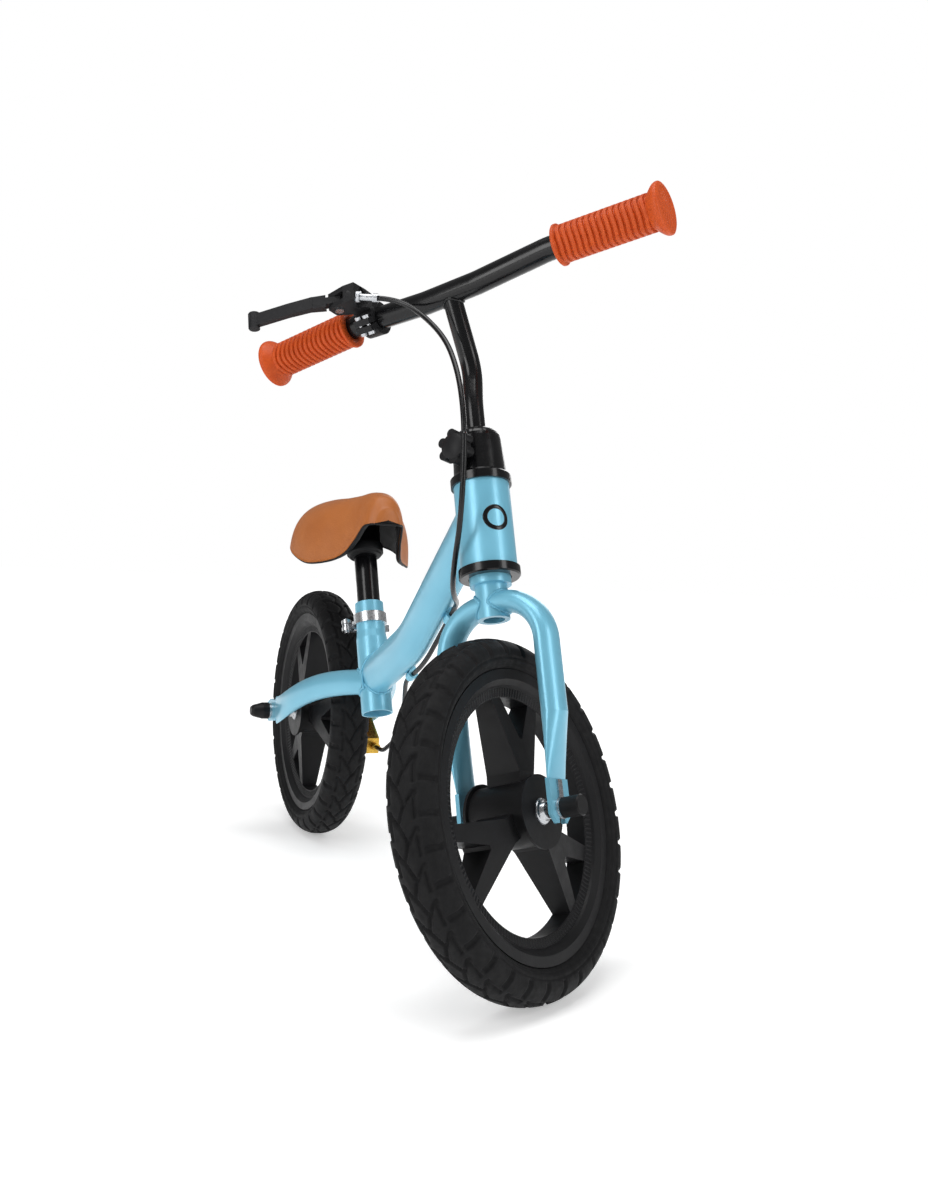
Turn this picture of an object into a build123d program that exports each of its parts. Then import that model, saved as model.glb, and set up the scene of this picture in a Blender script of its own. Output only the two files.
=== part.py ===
from build123d import *
import os
from math import asin, cos, degrees, pi, radians, sin, sqrt, tan

# Balance bike for a small child. X runs forward, Y to the rider's left, Z up, all in millimetres.
# It is laid out in a bike frame that starts on the ground under the middle of the wheelbase,
# and place_at_rest() then sets it on both tyres with its origin under the middle of its outline.

# ---------------------------------------------------------------- driving dimensions
# Wheels and stance
wheel_radius = 150.0
tyre_width = 45.0
wheelbase = 584.0
head_angle = 69.0
steer_rest = -58.6
bar_twist = 4.2

# Rim and spokes, as radii and half widths
tyre_seat_radius = 117.0
rim_lip_radius = 121.0
rim_lip_half = 17.0
rim_lip_width = 2.2
rim_throat_radius = 108.0
rim_inner_radius = 98.0
rim_web_half = 9.0
spoke_count = 3
spoke_spread = 16.5
spoke_width = 14.0
spoke_root_half = 17.0
spoke_tip_half = 8.5
spoke_window_height = 31.0
spoke_phase = 93.0

# Hub and its two ball bearings
hub_radius = 27.0
hub_half = 28.0
hub_disc_radius = 30.5
hub_disc_width = 2.6
hub_core_radius = 9.0
bearing_outer_radius = 11.0
bearing_track_radius = 9.3
bearing_width = 7.0
cone_radius = 5.7
bearing_ball_radius = 1.75
bearing_ball_count = 9
axle_radius = 4.0
spacer_radius = 6.5

# Axle ends
washer_thickness = 1.5
hook_washer_radius = 9.0
hook_tab_half = 3.2
nut_across_flats = 13.0
nut_height = 6.5
nut_flange_radius = 8.5
nut_flange_height = 1.2
cap_radius = 8.4
cap_length = 17.5
rear_cap_radius = 10.0
rear_cap_tip_radius = 6.2
rear_cap_length = 22.0
cap_gap = 0.1

# Fork, measured along the steering axis from the front axle
steerer_radius = 11.4
steerer_wall = 1.8
leg_depth = 28.0
leg_width = 20.0
leg_wall = 1.8
leg_y = 51.0
leg_top = wheel_radius + 33.0
steerer_bottom = leg_top - 14.0
crown_sleeve_radius = 14.5
leg_bend_radius = 42.0
leg_taper_top = 78.0
leg_taper_bottom = 24.0
fork_plate_inner = 43.5
dropout_thickness = 4.0
dropout_height = 28.0
dropout_below_axle = 12.0
slot_clearance = 0.2
keyhole_height = 20.5
keyhole_radius = 2.6

# Head tube and headset
head_tube_radius = 25.3
head_tube_wall = 2.0
head_tube_bottom = leg_top + 32.5
head_tube_top = head_tube_bottom + 78.5
cup_radius = head_tube_radius + 2.3
cup_flange = 8.5
cup_spigot = 12.5
cup_bore_radius = 12.4
race_recess_radius = head_tube_radius - 6.1
crown_race_radius = race_recess_radius - 0.7
crown_race_bottom = leg_top + 17.0
headset_ball_radius = (race_recess_radius - steerer_radius) / 3.9
headset_ball_circle = steerer_radius + 2.05 * headset_ball_radius
headset_ball_count = 20
ball_clearance = 0.08

# Stem collar and its star knob
collar_radius = head_tube_radius - 1.3
collar_top_radius = collar_radius - 1.6
collar_top = head_tube_top + 54.0
steerer_top = collar_top - 11.0
collar_shoulder = 10.0
knob_height = head_tube_top + 29.0
knob_screw_radius = 3.0
knob_boss_radius = 8.0
knob_boss_end = 27.5
knob_radius = 16.5
knob_thickness = 12.0
knob_lobes = 6
knob_dome = 3.2

# Stem and handlebar, in the bar's own frame: forward, left, up the steering axis
stem_radius = 9.5
stem_wall = 1.8
stem_bottom = head_tube_bottom - 10.5
bar_radius = 11.1
bar_wall = 1.8
bar_forward = 22.4
bar_height = collar_top + 135.4
bar_flat_half = 28.6
bar_rise_half = 104.0
bar_rise = 5.6
bar_end_half = 219.5
bar_end_forward = 18.9
bar_end_height = bar_height + 2.2

# Grips
grip_inner_half = 115.0
grip_flange_radius = 19.5
grip_flange_width = 3.5
grip_radius = 15.6
grip_rib_radius = 17.4
grip_rib_count = 15
grip_end_radius = 24.0
grip_end_width = 13.0
grip_cap = 4.0

# Brake lever, in the bar's frame
lever_pivot = (57.0, -104.0, bar_height + 14.6)
lever_pin_radius = 2.5
lever_slot = 7.4
lever_gap = 0.3
perch_height = 17.6
clamp_ear_tilt = -38.0
clamp_ear_length = 13.0
clamp_bolt_radius = 2.0
clamp_bolt_offsets = (-4.4, 4.4)
clamp_place = -88.5
clamp_width = 17.0
clamp_wall = 5.2
adjuster_root = (60.0, -84.5, bar_height + 12.1)
adjuster_end = (51.0, -63.0, bar_height + 6.1)
adjuster_radius = 3.4
adjuster_seat = 3.0
locknut_radius = 5.6

# Cable
cable_radius = 2.5
wire_radius = 0.8
ferrule_radius = 3.3
ferrule_length = 9.0

# Frame tubes
post_radius = 12.7
seat_tube_foot = (-64.0, 181.0)
seat_angle = 67.0
seat_tube_length = 125.7
seat_sleeve_radius = post_radius + 3.2
seat_tube_radius = seat_sleeve_radius + 1.1
seat_sleeve_start = 84.0
seat_swage = 8.0
seat_tube_bore = seat_tube_radius - 2.0
seat_tube_mouth = 40.0
down_tube_depth = 45.0
down_tube_width = 33.0
down_tube_wall = 1.8
down_tube_head = head_tube_top - 18.0
down_tube_vertex = (32.0, 269.0)
down_tube_foot = 40.5
down_tube_bend = 150.0
stay_height = 28.0
stay_width = 20.0
stay_wall = 1.6
# Stay's centre line: share of the way from the seat tube's foot to the rear axle, share of the
# way out to the dropout, and rise above the straight line between the two
stay_shape = [
    (0.0526, 0.155, 34.1),
    (0.2105, 0.448, 33.5),
    (0.386, 0.707, 29.0),
    (0.5526, 0.888, 20.1),
    (0.7018, 0.991, 9.8),
    (0.8333, 1.009, 2.8),
]

# Seat
post_wall = 1.8
post_bottom = 45.0
post_top = 200.0
saddle_socket_height = 18.0
pad_thickness = 9.0
base_thickness = 2.5

# Quick-release seat clamp, measured along the seat tube
clamp_bottom_t = 101.0
clamp_height = 11.5
clamp_band = 2.4
clamp_ear_gap = 5.0
clamp_ear_width = 3.5
clamp_ear_reach = 13.0
skewer_radius = 2.5
cam_radius = 5.6
cam_offset = 14.0
lever_length = 52.0
lever_thickness = 2.6

# Band brake on the left of the rear hub; its points are (forward, up) from the axle
drum_radius = 28.0
drum_inner = hub_half + 2.8
drum_width = 17.0
lining_thickness = 2.6
lining_gap = 0.5
band_thickness = 1.0
plate_radius = 36.0
plate_thickness = 2.0
plate_y = drum_inner + 19.8
rear_plate_inner = plate_y + 5.4
brake_arm_pivot = (44.5, -11.0)
brake_arm_pin_radius = 3.0
brake_end = (57.0, -31.5)
brake_tab = (87.0, -29.0)
brake_cable_y = plate_y - 4.6

# ---------------------------------------------------------------- frames and small helpers
axle_height = wheel_radius
steer_dir = Vector(-cos(radians(head_angle)), 0, sin(radians(head_angle)))
steer_forward = Vector(sin(radians(head_angle)), 0, cos(radians(head_angle)))
front_axle_point = Vector(wheelbase / 2, 0, axle_height)
rear_axle_point = Vector(-wheelbase / 2, 0, axle_height)
head_frame = Plane(origin=front_axle_point, x_dir=steer_forward, z_dir=steer_dir).location
fork_frame = head_frame * Rot(Z=steer_rest)
bar_frame = head_frame * Rot(Z=steer_rest + bar_twist)
rear_frame = Pos(*rear_axle_point)
along_y = Rot(X=-90)
along_x = Rot(Y=90)
seat_dir = Vector(-cos(radians(seat_angle)), 0, sin(radians(seat_angle)))
seat_foot = Vector(seat_tube_foot[0], 0, seat_tube_foot[1])
seat_forward = Vector(sin(radians(seat_angle)), 0, cos(radians(seat_angle)))
seat_frame = Plane(origin=seat_foot, x_dir=seat_forward, z_dir=seat_dir).location


def rod(radius, start, end):
    """A round bar along Z."""
    return Pos(0, 0, start) * Cylinder(radius, end - start, align=(Align.CENTER, Align.CENTER, Align.MIN))


def tube(outer, inner, start, end):
    """A round tube along Z."""
    return rod(outer, start, end) - rod(inner, start - 1, end + 1)


def turned(points):
    """A turned piece from its (radius, height) outline, about Z."""
    outline = Plane.XZ * make_face(Polyline(*points, close=True))
    return revolve(outline, Axis.Z)


def between(start, end):
    """A location at start whose Z points to end."""
    start = Vector(*start)
    end = Vector(*end)
    return Plane(origin=start, z_dir=end - start).location


def cord(points, radius, held=None):
    """A round cord: straight runs joined by tangent arcs as large as the runs allow.

    Each arc takes 0.45 of the shorter run beside it, or the length that held gives for its corner.
    """
    vectors = [Vector(*p) for p in points]
    runs = [(b - a).length for a, b in zip(vectors, vectors[1:])]
    radii = []
    for i in range(1, len(vectors) - 1):
        turn = (vectors[i] - vectors[i - 1]).get_angle(vectors[i + 1] - vectors[i])
        taken = (held or {}).get(i, 0.45 * min(runs[i - 1], runs[i]))
        radii.append(taken / tan(radians(turn / 2)))
    path = FilletPolyline(*vectors, radius=radii)
    print("cord radii", [round(r, 1) for r in radii], "length", round(path.length, 1))
    section = Plane(origin=path @ 0, z_dir=path % 0) * Circle(radius)
    return sweep(section, path=path), path


def ball_ring(radius, circle, count, height):
    """A ring of loose balls about Z."""
    balls = [Rot(Z=360 * i / count) * Pos(circle, 0, height) * Sphere(radius) for i in range(count)]
    return Part() + balls


def lofted(sections):
    """A loft through ellipses given as (point, tangent, half height, half width)."""
    faces = []
    for point, tangent, half_height, half_width in sections:
        plane = Plane(origin=point, x_dir=Vector(0, 1, 0).cross(tangent), z_dir=tangent)
        faces.append(plane * Ellipse(half_height, half_width))
    return loft(faces)


parts = {}
hub_face = hub_half + hub_disc_width / 2

# ---------------------------------------------------------------- wheels, about Z as the axle
# Z is the rider's left, X forward and Y down until along_y turns the wheel upright.


def tyre_outline():
    """Half of the foam tyre's section as (radius, half width), from its seat between the rim's lips."""
    half = tyre_width / 2
    seat_half = rim_lip_half - rim_lip_width - 0.1
    lip = rim_lip_radius + 0.2
    side = [(lip, seat_half), (lip + 0.8, rim_lip_half), (126, half - 1.8), (132, half)]
    crown = [(wheel_radius - 11, half - 1.2), (wheel_radius - 4.5, half - 7), (wheel_radius - 1, half - 15)]
    return [(tyre_seat_radius, seat_half)] + side + crown


def tyre():
    """Foam tyre whose base grips the rim between and over its lips."""
    upper = tyre_outline()
    return turned(upper + [(wheel_radius, 0)] + [(r, -z) for r, z in reversed(upper)])


def spokes():
    """Three spokes, each a V whose two limbs spread from the hub to the rim."""
    limb_root = hub_radius - 5
    limb_tip = rim_inner_radius + 3
    half = spoke_width / 2
    spread = tan(radians(spoke_spread))
    inner = half * 0.25
    outline = [
        (limb_root, -half * 1.5),
        (limb_root + 12, -half * 1.5),
        (limb_tip, -limb_tip * spread - half),
        (limb_tip, limb_tip * spread + half),
        (limb_root + 12, half * 1.5),
        (limb_root, half * 1.5),
    ]
    window_root = rim_inner_radius - spoke_window_height - 4
    window_tip = rim_inner_radius + 1
    window = [
        (window_root, inner),
        (window_tip, window_tip * spread - half),
        (window_tip, -window_tip * spread + half),
        (window_root, -inner),
    ]
    face = make_face(Polyline(*outline, close=True)) - make_face(Polyline(*window, close=True))
    slab = extrude(face, amount=spoke_root_half, both=True)
    taper = turned(
        [
            (0, -spoke_root_half),
            (hub_radius + 8, -spoke_root_half),
            (limb_tip, -spoke_tip_half),
            (limb_tip, spoke_tip_half),
            (hub_radius + 8, spoke_root_half),
            (0, spoke_root_half),
        ]
    )
    one = slab & taper
    return [Rot(Z=360 * i / spoke_count) * one for i in range(spoke_count)]


def rim():
    """Channel rim: two lips, a waist that steps in, and a flat inner band."""
    lip_in = rim_lip_half - rim_lip_width
    half = [
        (rim_inner_radius, rim_web_half),
        (rim_throat_radius - 1.5, rim_web_half + 2),
        (rim_throat_radius, rim_lip_half - 4),
        (rim_throat_radius + 4.5, rim_lip_half),
        (rim_lip_radius, rim_lip_half),
        (rim_lip_radius, lip_in),
        (tyre_seat_radius, lip_in),
    ]
    return turned(half + [(r, -z) for r, z in reversed(half)])


def wheel():
    """One moulding: rim, three V spokes and a barrel hub with a flat disc at each end."""
    hub = [
        (hub_core_radius, hub_face - bearing_width),
        (bearing_outer_radius, hub_face - bearing_width),
        (bearing_outer_radius, hub_face),
        (hub_disc_radius, hub_face),
        (hub_disc_radius, hub_face - hub_disc_width),
        (hub_radius, hub_face - hub_disc_width),
    ]
    barrel = turned(hub + [(r, -z) for r, z in reversed(hub)])
    bore = rod(bearing_outer_radius + 6, -hub_half, hub_half)
    return rim() + [limb - bore for limb in spokes()] + barrel


def bearing_pair(outer, inner):
    """The same ring at both ends of the hub."""
    ring = tube(outer, inner, hub_face - bearing_width, hub_face)
    return Part() + [ring, Rot(X=180) * ring]


def bearing_balls():
    middle = hub_face - bearing_width / 2
    circle = (bearing_track_radius + cone_radius) / 2
    ring = ball_ring(bearing_ball_radius, circle, bearing_ball_count, middle)
    return ring + Rot(X=180) * ring


def spin(angle):
    """Turns a wheel about its axle so that a spoke leans from forward towards up."""
    return Rot(Z=-angle)


front_wheel_place = fork_frame * along_y
rear_wheel_place = rear_frame * along_y
for end, place, phase in (("front", front_wheel_place, spoke_phase), ("rear", rear_wheel_place, spoke_phase + 27)):
    parts[end + "_tyre"] = place * tyre()
    parts[end + "_wheel"] = place * spin(phase) * wheel()
    parts[end + "_bearing_rings"] = place * bearing_pair(bearing_outer_radius, bearing_track_radius)
    parts[end + "_bearing_balls"] = place * bearing_balls()

# ---------------------------------------------------------------- axles and what clamps them


def mirrored_pair(piece):
    """The same piece on both ends of an axle."""
    return Part() + [piece, mirror(piece, about=Plane.XY)]


def axle_set(name, place, plate_inner, cap, left_gap=None, hooked=False):
    """Axle, spacers, washers, nuts and caps of one wheel, about Z as the axle.

    left_gap is the span of a plate that the left spacer leaves room for.
    """
    plate_outer = plate_inner + dropout_thickness
    hook_end = plate_outer + washer_thickness
    flange_end = hook_end + nut_flange_height
    nut_end = flange_end + nut_height
    axle_end = nut_end + 3
    parts[name + "_axle"] = place * rod(axle_radius, -axle_end, axle_end)
    cone = tube(cone_radius, axle_radius, hub_face - bearing_width, hub_face)
    right = cone + tube(spacer_radius, axle_radius, hub_face, plate_inner)
    left = right - rod(spacer_radius + 1, *left_gap) if left_gap else right
    parts[name + "_cones"] = place * (Part() + [left, mirror(right, about=Plane.XY)])
    washer = rod(hook_washer_radius, plate_outer, hook_end)
    if hooked:
        washer += hook_tab(plate_outer, hook_end)
    washer -= rod(axle_radius, plate_outer - 1, hook_end + 1)
    parts[name + "_washers"] = place * mirrored_pair(washer)
    hexagon = extrude(RegularPolygon(nut_across_flats / 2, 6, major_radius=False), nut_height)
    nut = Pos(0, 0, flange_end) * hexagon + rod(nut_flange_radius, hook_end, flange_end)
    nut -= rod(axle_radius, hook_end - 1, nut_end + 1)
    parts[name + "_axle_nuts"] = place * mirrored_pair(nut)
    parts[name + "_axle_caps"] = place * mirrored_pair(Pos(0, 0, flange_end + cap_gap) * cap)


def hook_tab(start, end):
    """Retaining washer's finger: up over the dropout, with a peg turned into its keyhole."""
    height = keyhole_height + keyhole_radius
    finger = Pos(0, -height / 2, (start + end) / 2) * Box(2 * hook_tab_half, height, end - start)
    return finger + Pos(0, -keyhole_height, 0) * rod(keyhole_radius - 0.2, start - 2, end)


def cap_outline(radius, tip_radius, length, rounding):
    """Push-on cap over the nut: (radius, height) outline, open towards the wheel."""
    hollow = nut_across_flats / 2 / cos(radians(30)) + 0.1
    depth = nut_height + 3.6
    return turned(
        [
            (hollow, 0),
            (radius, 0),
            (radius, length * 0.35),
            (tip_radius + rounding * 0.3, length - rounding),
            (tip_radius - rounding * 0.4, length),
            (0, length),
            (0, depth),
            (hollow, depth),
        ]
    )


front_cap = cap_outline(cap_radius, cap_radius, cap_length, 1.2)
rear_cap = cap_outline(rear_cap_radius, rear_cap_tip_radius, rear_cap_length, 3.0)
axle_set("front", front_wheel_place, fork_plate_inner, front_cap, hooked=True)
axle_set("rear", rear_wheel_place, rear_plate_inner, rear_cap, left_gap=(plate_y, plate_y + plate_thickness))

# ---------------------------------------------------------------- fork


def steerer():
    """Steerer tube with a crown sleeve, an open lower mouth and the hole for the knob's screw."""
    outer = tube(steerer_radius, steerer_radius - steerer_wall, steerer_bottom, steerer_top)
    outer += tube(crown_sleeve_radius, steerer_radius - steerer_wall, steerer_bottom, crown_race_bottom)
    hole = Pos(0, 0, knob_height) * along_x * rod(knob_screw_radius + 0.5, 0, steerer_radius + 2)
    return outer - hole


def dropout_plate(centre_y):
    """Flattened leg end with an open slot for the axle and a keyhole above it."""
    half = dropout_height / 2
    below = dropout_below_axle
    outline = [
        (-half, leg_taper_bottom),
        (-half, -below + 7),
        (-half + 7, -below),
        (half - 7, -below),
        (half, -below + 7),
        (half, leg_taper_bottom),
    ]
    slot_half = axle_radius + slot_clearance
    face = Plane.XZ * make_face(Polyline(*outline, close=True))
    plate = Pos(0, centre_y, 0) * extrude(face, amount=dropout_thickness / 2, both=True)
    slot_box = Box(2 * slot_half, 20, below + 1, align=(Align.CENTER, Align.CENTER, Align.MAX))
    plate -= Pos(0, centre_y, 0) * (along_y * Cylinder(slot_half, 20) + slot_box)
    return plate - Pos(0, centre_y, keyhole_height) * along_y * Cylinder(keyhole_radius, 20)


def fork_leg():
    """Left leg: oval tube out of the steerer's side, over a bend, down to a flattened end."""
    bend = FilletPolyline((4, leg_top), (leg_y, leg_top), (leg_y, leg_taper_top), radius=leg_bend_radius)
    path = Plane.YZ * bend
    start = Plane(origin=path @ 0, x_dir=(1, 0, 0), z_dir=path % 0)
    outer = sweep(start * Ellipse(leg_depth / 2, leg_width / 2), path=path)
    inner = sweep(start * Ellipse(leg_depth / 2 - leg_wall, leg_width / 2 - leg_wall), path=path)
    centre = fork_plate_inner + dropout_thickness / 2
    down = Vector(0, 0, -1)
    taper = lofted(
        [
            (Vector(0, leg_y, leg_taper_top), down, leg_depth / 2, leg_width / 2),
            (Vector(0, (leg_y + centre) / 2, (leg_taper_top + leg_taper_bottom) / 2), down, 14.4, 6),
            (Vector(0, centre, leg_taper_bottom), down, dropout_height / 2, dropout_thickness / 2),
        ]
    )
    leg = (outer - inner) + taper + dropout_plate(centre)
    return leg - rod(crown_sleeve_radius, 100, crown_race_bottom) - rod(steerer_radius, 100, 250)


parts["fork_steerer"] = fork_frame * steerer()
leg = fork_leg()
parts["fork_leg_left"] = fork_frame * leg
parts["fork_leg_right"] = fork_frame * mirror(leg, about=Plane.XZ)

# ---------------------------------------------------------------- headset and head tube
lower_ball_z = head_tube_bottom - 4.5
upper_ball_z = head_tube_top + 5.1
lower_track = lower_ball_z + headset_ball_radius + ball_clearance
upper_track = upper_ball_z - headset_ball_radius - ball_clearance
spigot_radius = head_tube_radius - head_tube_wall

lower_cup = turned(
    [
        (cup_bore_radius, head_tube_bottom + cup_spigot),
        (spigot_radius, head_tube_bottom + cup_spigot),
        (spigot_radius, head_tube_bottom),
        (cup_radius, head_tube_bottom),
        (cup_radius, head_tube_bottom - cup_flange + 1.2),
        (cup_radius - 1.2, head_tube_bottom - cup_flange),
        (race_recess_radius, head_tube_bottom - cup_flange),
        (race_recess_radius, lower_track),
        (cup_bore_radius, lower_track),
    ]
)
upper_cup_top = head_tube_top + cup_flange + 1.5
upper_cup = turned(
    [
        (cup_bore_radius, head_tube_top - cup_spigot),
        (spigot_radius, head_tube_top - cup_spigot),
        (spigot_radius, head_tube_top),
        (cup_radius, head_tube_top),
        (cup_radius, upper_cup_top - 2.4),
        (cup_radius - 2.4, upper_cup_top),
        (race_recess_radius, upper_cup_top),
        (race_recess_radius, upper_track),
        (cup_bore_radius, upper_track),
    ]
)
crown_race = turned(
    [
        (steerer_radius, crown_race_bottom),
        (crown_race_radius, crown_race_bottom),
        (crown_race_radius, lower_ball_z - headset_ball_radius - ball_clearance),
        (steerer_radius, lower_ball_z - headset_ball_radius - ball_clearance),
    ]
)
parts["headset_cup_lower"] = head_frame * lower_cup
parts["headset_cup_upper"] = head_frame * upper_cup
parts["crown_race"] = fork_frame * (crown_race - leg - mirror(leg, about=Plane.XZ))
parts["headset_balls"] = head_frame * (
    ball_ring(headset_ball_radius, headset_ball_circle, headset_ball_count, lower_ball_z)
    + ball_ring(headset_ball_radius, headset_ball_circle, headset_ball_count, upper_ball_z)
)
parts["head_tube"] = head_frame * tube(head_tube_radius, spigot_radius, head_tube_bottom, head_tube_top)

# ---------------------------------------------------------------- stem collar and star knob


def collar():
    """Moulded collar screwed on the steerer; its foot is the upper race and its top grips the stem."""
    foot = upper_ball_z + headset_ball_radius + ball_clearance
    base = upper_cup_top + 0.5
    arc_start = collar_top - collar_shoulder
    shoulder = [
        (
            collar_top_radius - collar_shoulder + collar_shoulder * cos(radians(a)),
            arc_start + collar_shoulder * sin(radians(a)),
        )
        for a in range(0, 91, 15)
    ]
    body = turned(
        [
            (steerer_radius + 0.05, foot),
            (race_recess_radius - 0.4, foot),
            (race_recess_radius - 0.4, base),
            (collar_radius, base),
        ]
        + shoulder
        + [
            (stem_radius + 0.1, collar_top),
            (stem_radius + 0.1, steerer_top + 0.3),
            (steerer_radius + 0.05, steerer_top + 0.3),
        ]
    )
    boss = Pos(0, 0, knob_height) * along_x * rod(knob_boss_radius, 15, knob_boss_end)
    body += boss - rod(collar_top_radius - 4, 0, 400)
    return body - Pos(0, 0, knob_height) * along_x * rod(knob_screw_radius + 0.06, 0, 40)


def star_knob():
    """Six-lobed knob about Z, with a low dome on its face."""
    valley = knob_radius * 0.72
    lobe = 4.6
    outline = Circle(valley)
    for i in range(knob_lobes):
        angle = 360 * i / knob_lobes
        outline += Rot(Z=angle) * Pos(knob_radius - lobe, 0) * Circle(lobe)
        outline += Rot(Z=angle) * Pos((knob_radius - lobe) / 2, 0) * Rectangle(knob_radius - lobe, 2 * lobe)
    body = extrude(outline, knob_thickness)
    dome_radius = (valley * valley + knob_dome * knob_dome) / (2 * knob_dome)
    dome = Pos(0, 0, knob_thickness + knob_dome - dome_radius) * Sphere(dome_radius)
    dome &= rod(valley, knob_thickness - 0.5, knob_thickness + knob_dome)
    return body + dome - rod(knob_screw_radius, -1, knob_thickness * 0.7)


knob_start = knob_boss_end + 0.6
knob_place = fork_frame * Pos(0, 0, knob_height) * along_x
parts["stem_collar"] = fork_frame * collar()
parts["star_knob"] = knob_place * Pos(0, 0, knob_start) * star_knob()
screw_end = knob_start + knob_thickness * 0.7
parts["knob_screw"] = knob_place * rod(knob_screw_radius, stem_radius + 0.4, screw_end)

# ---------------------------------------------------------------- stem, handlebar and grips


def stem_path():
    """Centre line: straight up the steerer, a slight lean back, then forward to the bar."""
    points = [(0, stem_bottom), (0, collar_top + 30), (-5, collar_top + 64), (bar_forward, bar_height)]
    return Plane.XZ * FilletPolyline(*points, radius=[110, 55])


def bar_points():
    rise_height = bar_height + bar_rise
    half = [
        (bar_forward, bar_flat_half, bar_height),
        (bar_forward - 0.6, bar_rise_half, rise_height),
        (bar_end_forward, bar_end_half - grip_cap, bar_end_height),
    ]
    return [(x, -y, z) for x, y, z in reversed(half)] + half


def bar_solid(radius):
    path = FilletPolyline(*[Vector(*p) for p in bar_points()], radius=[70, 60, 60, 70])
    return sweep(Plane(origin=path @ 0, z_dir=path % 0) * Circle(radius), path=path)


bar_rod = bar_solid(bar_radius)
handlebar = bar_rod - bar_solid(bar_radius - bar_wall)
post_line = stem_path()
post_start = Plane(origin=post_line @ 0, z_dir=post_line % 0)
stem_solid = sweep(post_start * Circle(stem_radius), path=post_line)
stem_hollow = sweep(post_start * Circle(stem_radius - stem_wall), path=post_line)
parts["handlebar"] = bar_frame * handlebar
parts["stem_post"] = bar_frame * (stem_solid - stem_hollow - bar_rod)


def grip(side):
    """Rubber grip with a thin flange, turned ribs and a big rounded safety end."""
    corner = bar_points()[4] if side > 0 else bar_points()[1]
    end = bar_points()[5] if side > 0 else bar_points()[0]
    axis = Vector(*end) - Vector(*corner)
    reach = axis.length
    offset = grip_inner_half - bar_rise_half
    length = reach - offset + grip_cap
    pitch = (length - grip_flange_width - grip_end_width) / grip_rib_count
    outline = [(0, length), (0, reach - offset), (bar_radius, reach - offset), (bar_radius, 0)]
    outline += [(grip_flange_radius, 0), (grip_flange_radius, grip_flange_width)]
    for i in range(grip_rib_count):
        z = grip_flange_width + pitch * i
        outline += [(grip_radius, z + 0.1), (grip_radius, z + pitch * 0.3)]
        outline += [(grip_rib_radius, z + pitch * 0.5), (grip_rib_radius, z + pitch * 0.8)]
    outline += [
        (grip_radius + 1, length - grip_end_width),
        (grip_end_radius - 1, length - 8),
        (grip_end_radius, length - 5),
        (grip_end_radius - 1.5, length - 1.5),
        (grip_end_radius - 4, length),
    ]
    return between(Vector(*corner) + axis.normalized() * offset, end) * turned(outline)


parts["grip_left"] = bar_frame * grip(1)
parts["grip_right"] = bar_frame * grip(-1)

# ---------------------------------------------------------------- brake lever and its perch
pivot_x, pivot_y, pivot_z = lever_pivot


def lever_blade():
    """Blade in the plane of the lever: hub, cranked web, straight blade and a flared tip."""
    hub = Pos(pivot_x, pivot_y) * Circle(6.5)
    web = [(52, -102), (62, -99), (68, -112), (74, -126), (68, -131), (60, -118)]
    blade = [(67.5, -130), (73.5, -124), (79, -150), (84.5, -186), (78.5, -187), (73, -152)]
    tip = Pos(81.8, -189) * Circle(5.4)
    outline = hub + make_face(Polyline(*web, close=True)) + make_face(Polyline(*blade, close=True)) + tip
    nose = make_face(Polyline((50, -98), (58, -96), (63, -101), (57, -108), (50, -104), close=True))
    flat = Pos(0, 0, pivot_z) * extrude(outline, amount=6.2, both=True)
    head = Pos(0, 0, pivot_z) * extrude(hub + nose, amount=lever_slot / 2 - lever_gap, both=True)
    keep = Pos(pivot_x, pivot_y, pivot_z) * Cylinder(13.5, 30)
    bulb = Pos(81.8, -189, pivot_z) * Cylinder(5.4, 17)
    body = (flat - keep) + (flat & keep & slot_block) + head + bulb
    pin_hole = Pos(pivot_x, pivot_y, pivot_z) * Cylinder(lever_pin_radius + 0.05, 40)
    return body - pin_hole


slot_block = Pos(pivot_x, pivot_y, pivot_z) * Box(60, 60, lever_slot - 2 * lever_gap)


def bar_ring_place(y):
    """Location on the straight of the bar under the perch, with Z along the bar, outwards."""
    corner = Vector(*bar_points()[1])
    inner = Vector(*bar_points()[2])
    along = corner - inner
    start = inner + along * ((y - inner.Y) / along.Y)
    return Plane(origin=start, x_dir=(1, 0, 0), z_dir=along).location


def perch():
    """Clamp round the bar, an arm forward, a slotted jaw for the lever and a boss for the adjuster."""
    place = bar_ring_place(clamp_place)
    ring = place * Cylinder(bar_radius + clamp_wall, clamp_width)
    ear_place = place * Rot(Z=clamp_ear_tilt)
    ears = ear_place * Pos(bar_radius + clamp_ear_length / 2, 0, 0) * Box(clamp_ear_length, 13, clamp_width)
    arm_shape = [(30, -99), (30, -80), (48, -79), (66, -80), (67, -92), (63.5, -112), (50.5, -112), (42, -99)]
    arm_face = make_face(Polyline(*arm_shape, close=True))
    jaw = Pos(0, 0, pivot_z) * extrude(arm_face, amount=perch_height / 2, both=True)
    adjuster_place = between(adjuster_root, adjuster_end)
    boss = adjuster_place * rod(6.2, -6, adjuster_seat)
    body = ring + ears + jaw + boss
    slot_shape = [(48, -94), (70, -92), (80, -130), (45, -130)]
    slot_face = make_face(Polyline(*slot_shape, close=True))
    slot = Pos(0, 0, pivot_z) * extrude(slot_face, amount=lever_slot / 2, both=True)
    wire_way = adjuster_place * rod(2.0, -22, 12)
    beyond_seat = adjuster_place * rod(12, adjuster_seat, 40)
    body = body - slot - wire_way - beyond_seat - (place * Cylinder(bar_radius, 60))
    body -= ear_place * Pos(bar_radius + 8, 0, 0) * Box(20, 1.6, 60)
    for z in clamp_bolt_offsets:
        hole = Cylinder(clamp_bolt_radius + 0.1, 13.2)
        body -= ear_place * Pos(bar_radius + 8.2, 0, z) * Rot(X=90) * hole
    return body - Pos(pivot_x, pivot_y, pivot_z) * Cylinder(lever_pin_radius, 40)


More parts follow.
